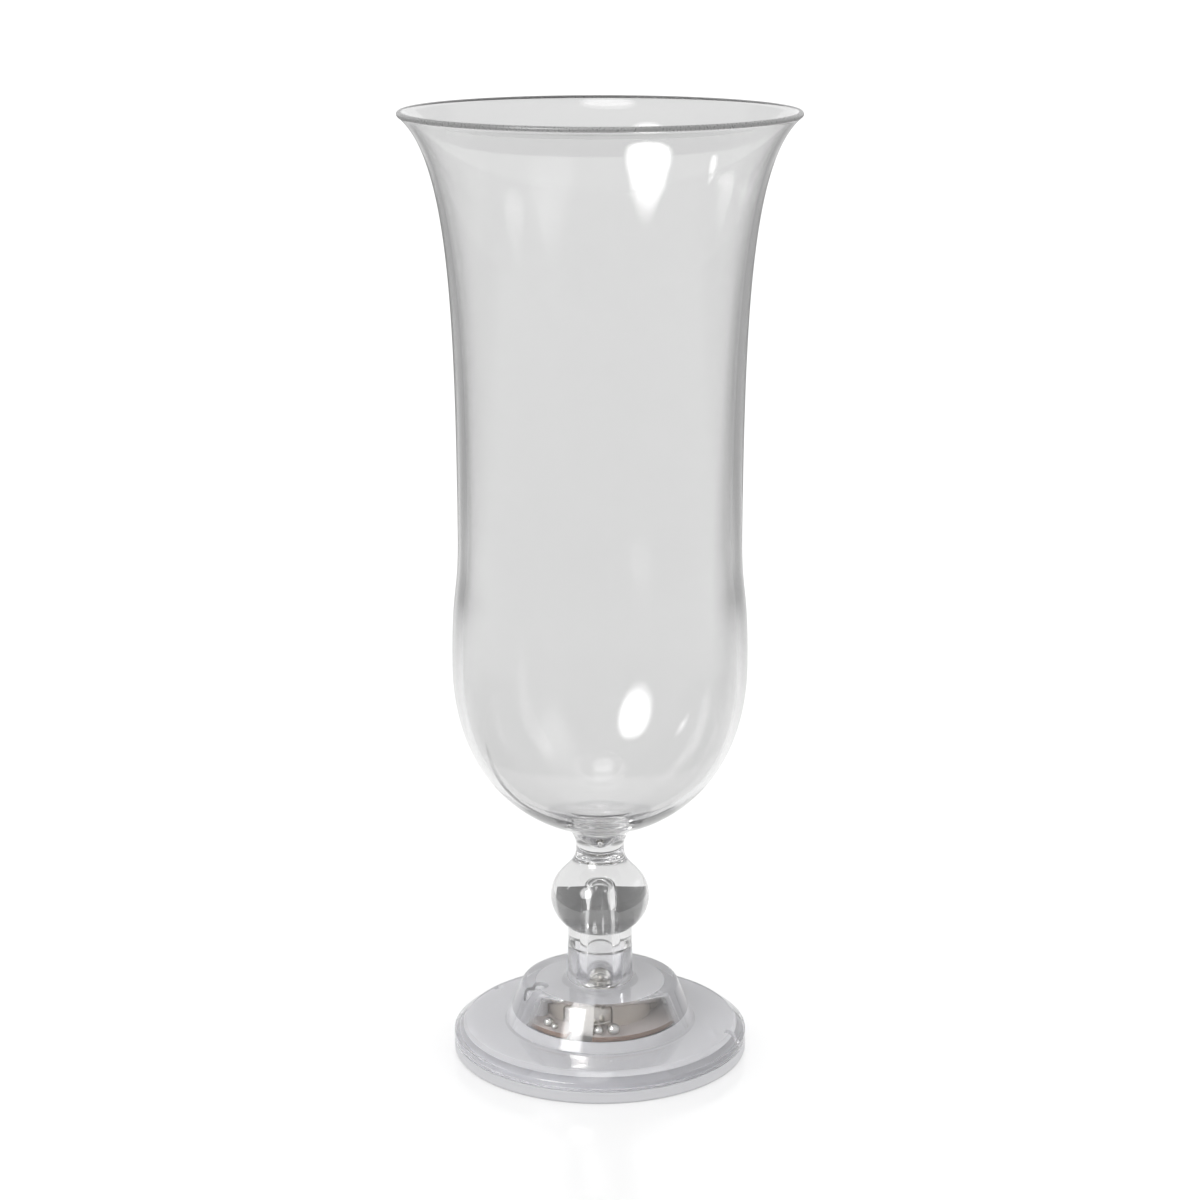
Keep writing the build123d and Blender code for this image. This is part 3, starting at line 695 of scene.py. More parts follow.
def paper_phenolic(finish):
    # Paper phenolic board: brown on its cut edge with darker fibres, and a pale lacquer
    # on its upper face.
    name = "paper phenolic board"
    if known(name):
        return known(name)
    material, tree, place = new_material(name)
    layered = add(tree, "ShaderNodeMapping", {"Vector": place, "Scale": (1.0, 1.0, 6.0)})
    paper = {"Vector": layered, "Scale": 1 / (1.2 * MM), "Detail": 6.0, "Roughness": 0.65}
    fibres = add(tree, "ShaderNodeTexNoise", paper)
    browns = {0: fibres, 6: opaque(finish.phenolic_dark), 7: opaque(finish.phenolic)}
    core = add(tree, "ShaderNodeMix", browns, data_type="RGBA").outputs[2]
    pales = {0: fibres, 6: opaque(finish.board_face), 7: opaque(finish.board_face, 0.9)}
    lacquer = add(tree, "ShaderNodeMix", pales, data_type="RGBA").outputs[2]
    normal = add(tree, "ShaderNodeNewGeometry").outputs["True Normal"]
    up = add(tree, "ShaderNodeSeparateXYZ", {0: normal}).outputs["Z"]
    top = add(tree, "ShaderNodeMath", {0: up, 1: 0.7}, operation="GREATER_THAN")
    sides = {0: top, 6: core, 7: lacquer}
    relief = {"Height": fibres, "Strength": 0.2, "Distance": 0.03 * MM}
    paint = {
        "Base Color": add(tree, "ShaderNodeMix", sides, data_type="RGBA").outputs[2],
        "Roughness": 0.55,
        "Normal": add(tree, "ShaderNodeBump", relief),
    }
    surface = add(tree, "ShaderNodeBsdfPrincipled", paint)
    add(tree, "ShaderNodeOutputMaterial", {"Surface": surface})
    return material


def moulded_plastic(name, shade, roughness, grain):
    # Opaque moulded plastic, resin or glaze: even colour with a fine grain and a slight
    # sheen. The grain is drawn coarser than the real one, which would not show.
    if known(name):
        return known(name)
    material, tree, place = new_material(name)
    grit = {"Vector": place, "Scale": 1 / grain, "Detail": 3.0}
    speck = add(tree, "ShaderNodeTexNoise", grit)
    shades = {0: speck, 6: opaque(shade, 0.88), 7: opaque(shade, 1.08)}
    spread = {0: speck, 3: roughness - 0.08, 4: roughness + 0.08}
    relief = {"Height": speck, "Strength": 0.25, "Distance": 0.02 * MM}
    paint = {
        "Base Color": add(tree, "ShaderNodeMix", shades, data_type="RGBA").outputs[2],
        "Roughness": add(tree, "ShaderNodeMapRange", spread),
        "Normal": add(tree, "ShaderNodeBump", relief),
    }
    surface = add(tree, "ShaderNodeBsdfPrincipled", paint)
    add(tree, "ShaderNodeOutputMaterial", {"Surface": surface})
    return material


def plated_metal(name, shade, roughness, grain, stretch):
    # Plated or tinned metal: bright, with fine marks of its making and the odd dull patch
    # 4 mm across. The marks are drawn coarser than the real ones, which would not show.
    if known(name):
        return known(name)
    material, tree, place = new_material(name)
    along_marks = add(tree, "ShaderNodeMapping", {"Vector": place, "Scale": stretch})
    lines = {"Vector": along_marks, "Scale": 1 / grain, "Detail": 4.0}
    marks = add(tree, "ShaderNodeTexNoise", lines)
    dull = {"Vector": place, "Scale": 1 / (4 * MM), "Detail": 2.0}
    patches = add(tree, "ShaderNodeTexNoise", dull)
    shades = {0: patches, 6: opaque(shade, 0.8), 7: opaque(shade)}
    spread = {0: marks, 3: roughness - 0.08, 4: roughness + 0.12}
    relief = {"Height": marks, "Strength": 0.12, "Distance": 0.02 * MM}
    paint = {
        "Base Color": add(tree, "ShaderNodeMix", shades, data_type="RGBA").outputs[2],
        "Metallic": 1.0,
        "Roughness": add(tree, "ShaderNodeMapRange", spread),
        "Normal": add(tree, "ShaderNodeBump", relief),
    }
    surface = add(tree, "ShaderNodeBsdfPrincipled", paint)
    add(tree, "ShaderNodeOutputMaterial", {"Surface": surface})
    return material


def nickel_plate(finish):
    # Nickel-plated spring steel, rolled and stamped: bright and almost white, with upright
    # rolling lines that draw its reflections out.
    return plated_metal("nickel-plated steel", finish.nickel, 0.2, 0.25 * MM, DRAWN)


def drawn_can(finish):
    # Nickel-plated steel, deep-drawn into a can: bright and a little warm, with lines from
    # the die up its side.
    return plated_metal("deep-drawn nickel-plated steel", finish.can, 0.22, 0.25 * MM, DRAWN)


def zinc_plate(finish):
    # Zinc-plated steel, tumbled in its bath: a cool grey with soft, even reflections.
    return plated_metal("zinc-plated steel", finish.zinc, 0.32, 0.2 * MM, EVEN)


def tin_solder(finish):
    # Tin solder that set from a melt: round and bright, with small sharp reflections.
    return plated_metal("tin solder", finish.tin, 0.16, 0.5 * MM, EVEN)


def led_epoxy(finish):
    # Cast clear epoxy: glossy like glass, with a trace of warmth and a few flow streaks.
    name = "cast clear epoxy"
    if known(name):
        return known(name)
    material, tree, place = new_material(name)
    flow = {"Vector": place, "Scale": 1 / (2 * MM), "Detail": 2.0}
    streaks = add(tree, "ShaderNodeTexNoise", flow)
    paint = {
        "Base Color": opaque(finish.epoxy),
        "Roughness": add(tree, "ShaderNodeMapRange", {0: streaks, 3: 0.0, 4: 0.08}),
        "IOR": EPOXY_IOR,
        "Transmission Weight": 1.0,
    }
    surface = add(tree, "ShaderNodeBsdfPrincipled", paint)
    add(tree, "ShaderNodeOutputMaterial", {"Surface": surface})
    return material


# Pieces


def bowl_side(size, bulge, waist, lip, count):
    """Points of one face of the bowl from its bulge to its lip."""
    low = (bulge, size.bulge_height)
    middle = (waist, size.waist_height)
    shoulder = bezier(
        low,
        (bulge, size.bulge_height + size.bulge_up),
        (waist, size.waist_height - size.waist_down),
        middle,
        count,
    )
    flare = bezier(
        middle,
        (waist, size.waist_height + size.waist_up),
        along(lip, size.flare, -size.flare_pull),
        lip,
        2 * count,
    )
    return shoulder + flare


def bowl_outline(size, collar_top):
    """Outline of the bowl from its well over the lip and down to the tip of its bore."""
    half_lip = size.lip / 2
    lip_centre = (size.rim - half_lip, size.height - half_lip)
    lip_outer = along(lip_centre, size.flare - math.pi / 2, half_lip)
    lip_inner = along(lip_centre, size.flare + math.pi / 2, half_lip)
    turn = math.pi / 2 - size.root
    sweep_centre = (size.neck + size.neck_sweep, size.neck_top)
    root = along(sweep_centre, math.pi - turn, size.neck_sweep)
    floor_sweep = size.neck_sweep + size.wall
    floor = along(sweep_centre, math.pi - turn, floor_sweep)
    well_edge = along(sweep_centre, math.pi / 2 + size.well, floor_sweep)
    well_tip = well_edge[1] - well_edge[0] * math.tan(size.well)
    tip_centre = (0.0, well_tip + size.well_round / math.cos(size.well))
    well = math.degrees(size.well)
    inside = arc(tip_centre, (size.well_round,) * 2, -90, well - 90, 6)
    inside += [along(tip_centre, size.well - math.pi / 2, size.well_round)]
    inside += arc(sweep_centre, (floor_sweep,) * 2, 90 + well, 180 - math.degrees(turn), 10)
    inner_bulge = size.bulge - size.wall
    inside += bezier(
        floor,
        along(floor, size.root, size.root_pull),
        (inner_bulge, size.bulge_height - size.bulge_down),
        (inner_bulge, size.bulge_height),
        52,
    )
    inside += bowl_side(size, inner_bulge, size.waist - size.wall, lip_inner, 26)
    flare = math.degrees(size.flare)
    lip = arc(lip_centre, (half_lip, half_lip), flare + 90, flare - 90, 14)
    outside = bowl_side(size, size.bulge, size.waist, lip_outer, 26)
    outside = [lip_outer] + outside[:0:-1] + [outside[0]]
    under = bezier(
        (size.bulge, size.bulge_height),
        (size.bulge, size.bulge_height - size.bulge_down),
        along(root, size.root, size.root_pull),
        root,
        52,
    )[1:]
    sweep = arc(sweep_centre, (size.neck_sweep,) * 2, 180 - math.degrees(turn), 180, 14)
    neck = [(size.neck, size.neck_top)]
    ball_over = bezier(
        (size.neck, size.neck_bottom),
        (size.neck, size.neck_bottom - size.neck_pull),
        (size.ball, size.ball_height + size.ball_pull),
        (size.ball, size.ball_height),
        34,
    )
    stub_turn = math.degrees(math.acos(size.stub / size.ball))
    stub_top = size.ball_height - size.ball_drop * math.sin(math.radians(stub_turn))
    ball_under = arc((0.0, size.ball_height), (size.ball, size.ball_drop), 0, -stub_turn, 22)
    easing = 0.12 * MM
    step = eased(
        [
            (size.stub, stub_top, 0),
            (size.stub, collar_top, easing),
            (size.spigot, collar_top, easing),
            (size.spigot, size.spigot_bottom + size.spigot_chamfer, easing),
            (size.spigot - size.spigot_chamfer, size.spigot_bottom, easing),
            (size.bore, size.spigot_bottom, easing),
            (size.bore_end, size.bore_top - size.bore_end, 0),
        ],
        closed=False,
    )
    tip = arc((0.0, size.bore_top - size.bore_end), (size.bore_end,) * 2, 0, 90, 14)[1:]
    end = [(0.0, size.bore_top)]
    return inside + lip + outside + under + sweep + neck + ball_over + ball_under + step + tip + end


class GLASS_OT_bowl(bpy.types.Operator):
    """Build the bowl with its neck, ball and spigot"""

    bl_idname = "glass.bowl"
    bl_label = "Bowl"

    def execute(self, context):
        settings = context.scene.glass
        collar_top = settings.foot.collar_top + settings.foot.joint_gap
        outline = bowl_outline(settings.bowl, collar_top)
        clear = clear_polystyrene("clear polystyrene of the bowl", settings.finish.clear, 0.04)
        bowl = turned("bowl_moulding", outline, settings.bowl.steps, clear)
        # The lip is satin and grey; the grey is painted shade, for the dark line along the rim.
        bowl.data.materials.append(
            frosted_polystyrene("satin polystyrene", settings.finish.lip, 0.35, 0.3)
        )
        half_lip = settings.bowl.lip / 2
        lip_centre = Vector((settings.bowl.rim - half_lip, settings.bowl.height - half_lip))
        for face in bowl.data.polygons:
            spot = Vector((math.hypot(*face.center[:2]), face.center.z))
            if (spot - lip_centre).length < LIP_TOUCH * half_lip:
                face.material_index = 1
        fitted(bowl, "clear_plastic", "bowl")
        return {"FINISHED"}


class GLASS_OT_foot_shell(bpy.types.Operator):
    """Build the collar, dome and disc of the foot with its bosses and lugs"""

    bl_idname = "glass.foot_shell"
    bl_label = "Foot shell"

    def execute(self, context):
        settings = context.scene.glass
        size = settings.foot
        lean = math.tan(size.taper)
        side = size.dome / math.cos(size.taper)
        disc_top = size.joint + size.edge + size.bevel_drop
        disc_under = disc_top - size.disc
        dome_top = size.dome_ceiling + size.roof
        skirt = size.radius - size.skirt
        board_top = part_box("circuit_board")[1].z
        frost_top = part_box("circuit_board")[0].z + FROST_LAP

        def inner(height):
            return size.board + size.board_gap + (board_top - height) * lean

        outline = eased(
            [
                (size.collar_bore, size.collar_top, size.corner),
                (size.collar, size.collar_top, size.corner),
                (size.collar, dome_top, size.collar_root),
                (inner(dome_top) + side, dome_top, size.shoulder),
                (inner(disc_top) + side, disc_top, size.dome_root),
                (size.radius - size.bevel, disc_top, size.bevel_round),
                (size.radius, disc_top - size.bevel_drop, size.bevel_round),
                (size.radius, size.joint + size.joint_gap, size.corner),
                (skirt, size.joint + size.joint_gap, size.corner),
                (skirt, disc_under, size.corner),
                (inner(disc_under), disc_under, size.corner),
                (inner(frost_top), frost_top, 0),
                (inner(size.dome_ceiling), size.dome_ceiling, size.corner),
                (size.collar_bore, size.dome_ceiling, size.corner),
            ]
        )
        clear = clear_polystyrene("clear polystyrene of the foot", settings.finish.clear_foot, 0.0)
        shell = turned("foot_moulding", outline, size.steps, clear)
        joined, holes, posts = [], [], []
        roof_middle = size.dome_ceiling + size.roof / 2
        for azimuth in SCREW_AZIMUTHS:
            place = facing(azimuth, size.board - size.boss_inset)
            posts.append(place.translation.xy)
            joined.append(rod(size.boss, board_top + size.joint_gap, roof_middle, place))
            holes.append(rod(size.pilot, board_top - MM, board_top + size.pilot_depth, place))
        low = size.joint + 2 * size.joint_gap
        high = disc_under + size.disc / 2
        lug_centre = (LUG_SHIFT, 0, (low + high) / 2)
        for azimuth in LUG_AZIMUTHS:
            joined.append(bar((*LUG, high - low), lug_centre, facing(azimuth, skirt)))
        cut(shell, "UNION", joined)
        cut(shell, "DIFFERENCE", holes)
        paint = settings.finish
        for finish in (
            frosted_polystyrene("blasted polystyrene", paint.clear_foot, 0.2, 0.42),
            # The dome's darker sides are painted shade.
            windowed_polystyrene(
                "part-blasted polystyrene", paint.flank, paint.clear_foot, 0.3, 0.4
            ),
            # The edge's darker inner wall is painted shade.
            frosted_polystyrene("coarse-blasted polystyrene", paint.edge, 0.2, 0.5),
        ):
            shell.data.materials.append(finish)
        for face in shell.data.polygons:
            radius, height = math.hypot(*face.center[:2]), face.center.z
            ceiling = abs(height - size.dome_ceiling) < TOUCH and radius < inner(height)
            under_disc = abs(height - disc_under) < TOUCH and radius < skirt
            root = disc_under < height < frost_top and radius < inner(height) + TOUCH
            lug = height < disc_under and -LUG_REACH < radius - skirt < -TOUCH
            edge = height < disc_under and abs(radius - skirt) < TOUCH
            reach = min((face.center.xy - post).length for post in posts)
            post = board_top < height < size.dome_ceiling and reach < size.boss + TOUCH
            cone = frost_top < height < size.dome_ceiling and abs(radius - inner(height)) < TOUCH
            if ceiling or under_disc or root or post or lug:
                face.material_index = 1
            # Slot 2 darkens the dome's sides and slot 3 the edge's inner wall, both with painted
            # shade.
            elif cone:
                face.material_index = 2
            elif edge:
                face.material_index = 3
        fitted(shell, "clear_plastic", "foot_shell")
        return {"FINISHED"}


class GLASS_OT_base_cover(bpy.types.Operator):
    """Build the frosted cover with its lip, posts, screw holes and button guard"""

    bl_idname = "glass.base_cover"
    bl_label = "Base cover"

    def execute(self, context):
        settings = context.scene.glass
        size = settings.foot
        floor = size.cover_recess
        top = floor + size.cover_floor
        ring = size.radius - size.ring
        lip = size.radius - size.skirt - size.lip_fit
        lip_top = size.joint + size.lip_height
        guard = size.guard + size.guard_wall
        guard_top = top + size.guard_height
        easing = size.corner
        outline = eased(
            [
                (size.button_hole, top, easing),
                (size.button_hole, floor, easing),
                (ring, floor, easing),
                (ring, 0.0, easing),
                (size.radius, 0.0, size.cover_round),
                (size.radius, size.joint - size.joint_gap, easing),
                (lip, size.joint - size.joint_gap, 0),
                (lip, lip_top, easing),
                (lip - size.lip, lip_top, easing),
                (lip - size.lip, top, easing),
                (guard, top, easing),
                (guard, guard_top, easing),
                (size.guard, guard_top, easing),
                (size.guard, top, 0),
            ]
        )
        milky = frosted_polystyrene("milky polystyrene", settings.finish.frosted, 0.15, 0.42)
        cover = turned("cover_moulding", outline, size.steps, milky)
        board_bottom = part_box("circuit_board")[0].z - size.joint_gap
        posts, holes = [], []
        for azimuth in SCREW_AZIMUTHS:
            place = facing(azimuth, size.board - size.boss_inset)
            posts.append(rod(size.post, floor + size.cover_floor / 2, board_bottom, place))
            holes.append(rod(size.head_hole, -MM, size.screw_seat, place))
            holes.append(rod(size.screw_hole, size.screw_seat - MM, board_bottom + MM, place))
        notch_centre = (0, 0, size.joint + size.lip_height + NOTCH_LIFT)
        for azimuth in LUG_AZIMUTHS:
            place = facing(azimuth, size.radius - size.skirt)
            holes.append(bar((*NOTCH, 2 * size.lip_height), notch_centre, place))
        cut(cover, "UNION", posts)
        cut(cover, "DIFFERENCE", holes)
        fitted(cover, "cover_plastic", "base_cover")
        return {"FINISHED"}


class GLASS_OT_base_screws(bpy.types.Operator):
    """Build the two screws with crossed heads and cut threads"""

    bl_idname = "glass.base_screws"
    bl_label = "Base screws"

    def execute(self, context):
        settings = context.scene.glass
        size = settings.foot
        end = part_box("base_screws")[1].z
        head_bottom = size.screw_seat - size.head_height
        easing = size.corner
        steel = zinc_plate(settings.finish)
        outline = eased(
            [
                (0.0, head_bottom, 0),
                (size.head, head_bottom, 2.5 * easing),
                (size.head, size.screw_seat, easing),
                (size.shank, size.screw_seat, 0),
            ],
            closed=False,
        )
        # Rows along the thread, the steepness of its flanks and the share left at its tip.
        rows, flank, tip = 100, 2.2, 0.35
        for i in range(1, rows + 1):
            outline.append((size.shank, size.screw_seat + (end - size.screw_seat) * i / rows))
        outline.append((0.0, end))
        screw = turned("screws", outline, 32, steel)
        for vertex in screw.data.vertices:
            x, y, z = vertex.co
            radius = math.hypot(x, y)
            if radius < size.shank * 0.5 or z <= size.screw_seat + easing:
                continue
            wave = (z / size.pitch - math.atan2(y, x) / (2 * math.pi)) % 1.0
            depth = size.thread * min(1.0, flank * abs(2 * wave - 1))
            taper = min(1.0, (end - z) / size.pitch + tip)
            new = (size.shank - depth) * taper
            vertex.co = (x * new / radius, y * new / radius, z)
        recess, slot, span = 0.8 * MM, 0.5 * MM, 2.2 * MM
        centre = (0, 0, head_bottom)
        crossed = [
            bar((*cross, 2 * recess), centre, Matrix.Identity(4))
            for cross in ((span, slot), (slot, span))
        ]
        cut(screw, "DIFFERENCE", crossed)
        given = {
            "Count": len(SCREW_AZIMUTHS),
            "Radius": size.board - size.boss_inset,
            "First azimuth": math.radians(SCREW_AZIMUTHS[0]),
            "Step": math.radians(SCREW_AZIMUTHS[1] - SCREW_AZIMUTHS[0]),
            "Finish": steel,
        }
        smoothed(grown(screw, copies_tree(), given), 28.0)
        fitted(screw, "steel", "base_screws")
        return {"FINISHED"}


class GLASS_OT_push_button(bpy.types.Operator):
    """Build the dished push button with its flange"""

    bl_idname = "glass.push_button"
    bl_label = "Push button"

    def execute(self, context):
        settings = context.scene.glass
        size = settings.foot
        low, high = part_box("push_button")
        flange = high.z - size.button_flange_height
        rise = size.button_dish
        bend = (size.button**2 + rise**2) / (2 * rise)
        rim = size.button - 0.3 * MM
        rows = 12
        dish = []
        for i in range(rows + 1):
            radius = rim * i / rows
            sag = bend - math.sqrt(bend**2 - radius**2)
            dish.append((radius, low.z + rise - sag))
        outline = dish + eased(
            [
                (rim, low.z + 0.05 * MM, 0),
                (size.button, low.z, 0.25 * MM),
                (size.button, flange, 0.05 * MM),
                (size.button_flange, flange, size.corner),
                (size.button_flange, high.z, size.corner),
                (0.0, high.z, 0),
            ],
            closed=False,
        )[1:]
        white = moulded_plastic("moulded white ABS", settings.finish.button, 0.38, 0.3 * MM)
        button = turned("button_cap", outline, 96, white)
        fitted(button, "button_plastic", "push_button", body="button")
        return {"FINISHED"}


class GLASS_OT_board(bpy.types.Operator):
    """Build the round circuit board, its chip and its chip resistors"""

    bl_idname = "glass.board"
    bl_label = "Circuit board"

    def execute(self, context):
        settings = context.scene.glass
        works = settings.works
        paint = settings.finish
        phenolic = paper_phenolic(paint)
        fitted_copy("board", "circuit_board", 0.06 * MM, phenolic, "board_phenolic")
        resin = moulded_plastic("black potting resin", paint.resin, 0.3, 1.2 * MM)
        chip = eased_copy("chip_drop", "driver_chip", 0.05 * MM, resin, 60.0)
        fitted(chip, "chip_resin", "driver_chip")
        glaze = moulded_plastic("glazed alumina", paint.alumina, 0.3, 0.4 * MM)
        tin = tin_solder(paint)
        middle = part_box("circuit_board")[0].z - works.resistor_height / 2
        section = (works.resistor_width, works.resistor_height)
        unmoved = Matrix.Identity(4)
        body = bar((works.resistor - 2 * works.terminal, *section), (0, 0, middle), unmoved)
        body.name = "resistor_bodies"
        end = works.resistor / 2 - works.terminal / 2
        ends = bar((works.terminal, *section), (end, 0, middle), unmoved)
        ends.name = "resistor_ends"
        mirror = ends.modifiers.new("both ends", "MIRROR")
        mirror.use_axis = (True, False, False)
        for piece, metal in ((body, glaze), (ends, tin)):
            bevel = piece.modifiers.new("eased corners", "BEVEL")
            bevel.width = 0.05 * MM
            bevel.segments = 2
            plain(piece)
            given = {
                "Count": 3,
                "Radius": works.cell_circle,
                "First azimuth": math.radians(CELL_AZIMUTHS[1]) - works.resistor_step,
                "Step": works.resistor_step,
                "Finish": metal,
            }
            smoothed(grown(piece, copies_tree(), given))
        fitted(body, "resistor_ceramic", "chip_resistors")
        fitted(ends, "nickel", "chip_resistors")
        return {"FINISHED"}


class GLASS_OT_solder(bpy.types.Operator):
    """Build the drops of solder on the board"""

    bl_idname = "glass.solder"
    bl_label = "Solder"

    def execute(self, context):
        settings = context.scene.glass
        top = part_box("circuit_board")[1].z
        # Azimuth of each drop, and its distance from the axis and its radius in millimetres.
        drops = [
            (11.0, 15.4, 1.45),
            (-46.0, 15.4, 1.15),
            (-38.0, 15.9, 0.75),
            (-1.0, 15.3, 1.1),
            (100.0, 15.8, 0.9),
            (122.0, 15.6, 0.8),
            (215.0, 15.7, 1.0),
            (240.0, 15.7, 0.8),
        ]
        # A drop's middle stands over the board by this share of its radius.
        stands = 0.7
        mesh = bpy.data.meshes.new("solder")
        places = [
            facing(azimuth, radius * MM, top + stands * size * MM).translation
            for azimuth, radius, size in drops
        ]
        mesh.from_pydata(places, [], [])
        sizes = mesh.attributes.new("size", "FLOAT", "POINT")
        sizes.data.foreach_set("value", [size * MM for azimuth, radius, size in drops])
        tin = tin_solder(settings.finish)
        given = {"Flatness": 0.95, "Seed": 4, "Finish": tin}
        solder = grown(linked("solder", mesh), drops_tree(), given)
        smoothed(solder, 60.0)
        fitted(solder, "nickel")
        return {"FINISHED"}


class GLASS_OT_cells(bpy.types.Operator):
    """Build the three button cells with their crimped cans and caps"""

    bl_idname = "glass.cells"
    bl_label = "Button cells"

    def execute(self, context):
        settings = context.scene.glass
        size = settings.works
        can = size.cell_height - size.cell_cap_height
        steel = drawn_can(settings.finish)
        soft = 0.1 * MM
        gasket = size.cell_cap + 0.25 * MM
        sunk = can - 0.2 * MM
        outline = eased(
            [
                (0.0, 0.0, 0),
                (size.cell, 0.0, size.cell_round),
                (size.cell, can - 1.1 * MM, soft),
                (size.cell - size.crimp, can - 0.95 * MM, soft),
                (size.cell, can - 0.8 * MM, soft),
                (size.cell, can, size.cell_round),
                (gasket, can, soft),
                (gasket, sunk, 0),
                (size.cell_cap, sunk, 0),
                (size.cell_cap, size.cell_height, 2 * soft),
                (0.0, size.cell_height, 0),
            ],
            closed=False,
        )
        lift = Matrix.Translation((0, 0, size.cell_height))
        flip = lift @ Matrix.Rotation(math.pi, 4, "X")
        nodes = ("front_button_cell", "right_button_cell", "rear_button_cell")
        for node, azimuth in zip(nodes, CELL_AZIMUTHS):
            cell = turned(node.replace("button_cell", "cell"), outline, 72, steel)
            if node != "right_button_cell":
                cell.data.transform(flip)
            cell.data.transform(facing(azimuth, size.cell_circle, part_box(node)[0].z))
            fitted(cell, "nickel", node)
        return {"FINISHED"}


class GLASS_OT_contacts(bpy.types.Operator):
    """Build the contact strip, the link and the contact discs"""

    bl_idname = "glass.contacts"
    bl_label = "Contacts"

    def execute(self, context):
        nickel = nickel_plate(context.scene.glass.finish)
        for name, node in (
            ("contact_strip", "positive_contact"),
            ("contact_link", "upper_link"),
            ("contact_discs", "lower_contacts"),
        ):
            fitted_copy(name, node, 0.04 * MM, nickel, "nickel")
        return {"FINISHED"}


class GLASS_OT_holder(bpy.types.Operator):
    """Build the three-armed cell holder"""

    bl_idname = "glass.holder"
    bl_label = "Cell holder"

    def execute(self, context):
        finish = context.scene.glass.finish
        taupe = moulded_plastic("moulded taupe ABS", finish.taupe, 0.5, 0.4 * MM)
        fitted_copy("holder", "cell_holder", 0.12 * MM, taupe, "taupe_plastic")
        return {"FINISHED"}


class GLASS_OT_led(bpy.types.Operator):
    """Build the LED with its lens, its inner frame and its leads"""

    bl_idname = "glass.led"
    bl_label = "LED"

    def execute(self, context):
        settings = context.scene.glass
        size = settings.works
        low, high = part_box("led_lens")
        flange = low.z + size.led_flange_height
        gap = 0.02 * MM
        dome = high.z - size.led
        outline = eased(
            [
                (0.0, low.z + gap, 0),
                (size.led_flange, low.z + gap, 0.1 * MM),
                (size.led_flange, flange, 0.15 * MM),
                (size.led, flange, 0.15 * MM),
                (size.led, dome, 0),
            ],
            closed=False,
        )
        outline += arc((0.0, dome), (size.led,) * 2, 0, 90, 20)[1:] + [(0.0, high.z)]
        lens = turned("led_dome", outline, 72, led_epoxy(settings.finish))
        flat = (size.led_flange - size.led, 2.2 * size.led_flange, 2 * size.led_flange_height)
        place = facing(GAP_AZIMUTHS[0], (size.led_flange + size.led) / 2 + gap, low.z)
        cut(lens, "DIFFERENCE", [bar(flat, (0, 0, 0), place)])
        fitted(lens, "led_epoxy", "led_lens")
        nickel = nickel_plate(settings.finish)
        fitted_copy("led_wires", "led_leads", 0.05 * MM, nickel, "nickel")
        # Radius, height and rounding of the cup's corners in millimetres.
        corners = [
            (0.0, 0.4, 0.0),
            (0.35, 0.4, 0.0),
            (0.35, 1.2, 0.1),
            (0.9, 1.5, 0.1),
            (0.9, 2.3, 0.05),
            (0.7, 2.3, 0.05),
            (0.4, 1.9, 0.05),
            (0.0, 1.9, 0.0),
        ]
        cup = [(x * MM, low.z + y * MM, rounding * MM) for x, y, rounding in corners]
        inner = turned("led_frame", eased(cup, closed=False), 36, nickel)
        inner.data.transform(facing(GAP_AZIMUTHS[0] + 180, 0.35 * MM))
        # The second post of the frame stands beside the cup.
        thick, tall, middle = 0.5 * MM, 1.8 * MM, low.z + 1.3 * MM
        place = facing(GAP_AZIMUTHS[0], 0.0)
        post = bar((thick, thick, tall), (size.led_pitch / 2, 0, middle), place)
        cut(inner, "UNION", [post])
        fitted(inner, "nickel")
        return {"FINISHED"}


class GLASS_OT_switch(bpy.types.Operator):
    """Build the push switch with its metal cover and plunger"""

    bl_idname = "glass.switch"
    bl_label = "Switch"

    def execute(self, context):
        paint = context.scene.glass.finish
        black = moulded_plastic("moulded black nylon", paint.switch, 0.45, 0.3 * MM)
        zinc = zinc_plate(paint)
        fitted_copy("switch_body", "switch_base", 0.08 * MM, black, "switch_plastic")
        fitted_copy("switch_plate", "switch_cover", 0.04 * MM, zinc, "steel")
        fitted_copy("switch_stem", "switch_plunger", 0.1 * MM, black, "switch_plastic", "button")
        return {"FINISHED"}


# Studio

# Name, azimuth, elevation, size across and up in metres, and radiance of each lamp.
LAMPS = (
    ("key softbox", -38, 32, (0.72, 0.94), 9.0),
    ("overhead softbox", -20, 83, (0.4, 0.4), 2.0),
    ("side strip", -93, 22, (0.12, 0.25), 5.0),
)
LAMP_DISTANCE = 1.2
LAMP_AIM = (0.0, 0.0, 0.1)

# Shares of a lamp's width from its middle, where its light ends and where it is full.
LAMP_EDGE = 0.5
LAMP_FADE = 0.36

# Camera that the photograph was fitted with.
CAMERA_PLACE = (0.0, -0.6084, 0.2634)
CAMERA_TILT = 75.6
CAMERA_LENS = 83.88
CAMERA_SENSOR = 36.0

# Glow that lifts the floor to white, and brightness of the studio's dark end and of the card.
FLOOR_RADIUS = 9.0
FLOOR_GLOW = 0.27
DARK_END = 0.27
CARD_GREY = 0.27

# Bounces of light, enough for the many clear faces that lie behind each other.
BOUNCES = 48


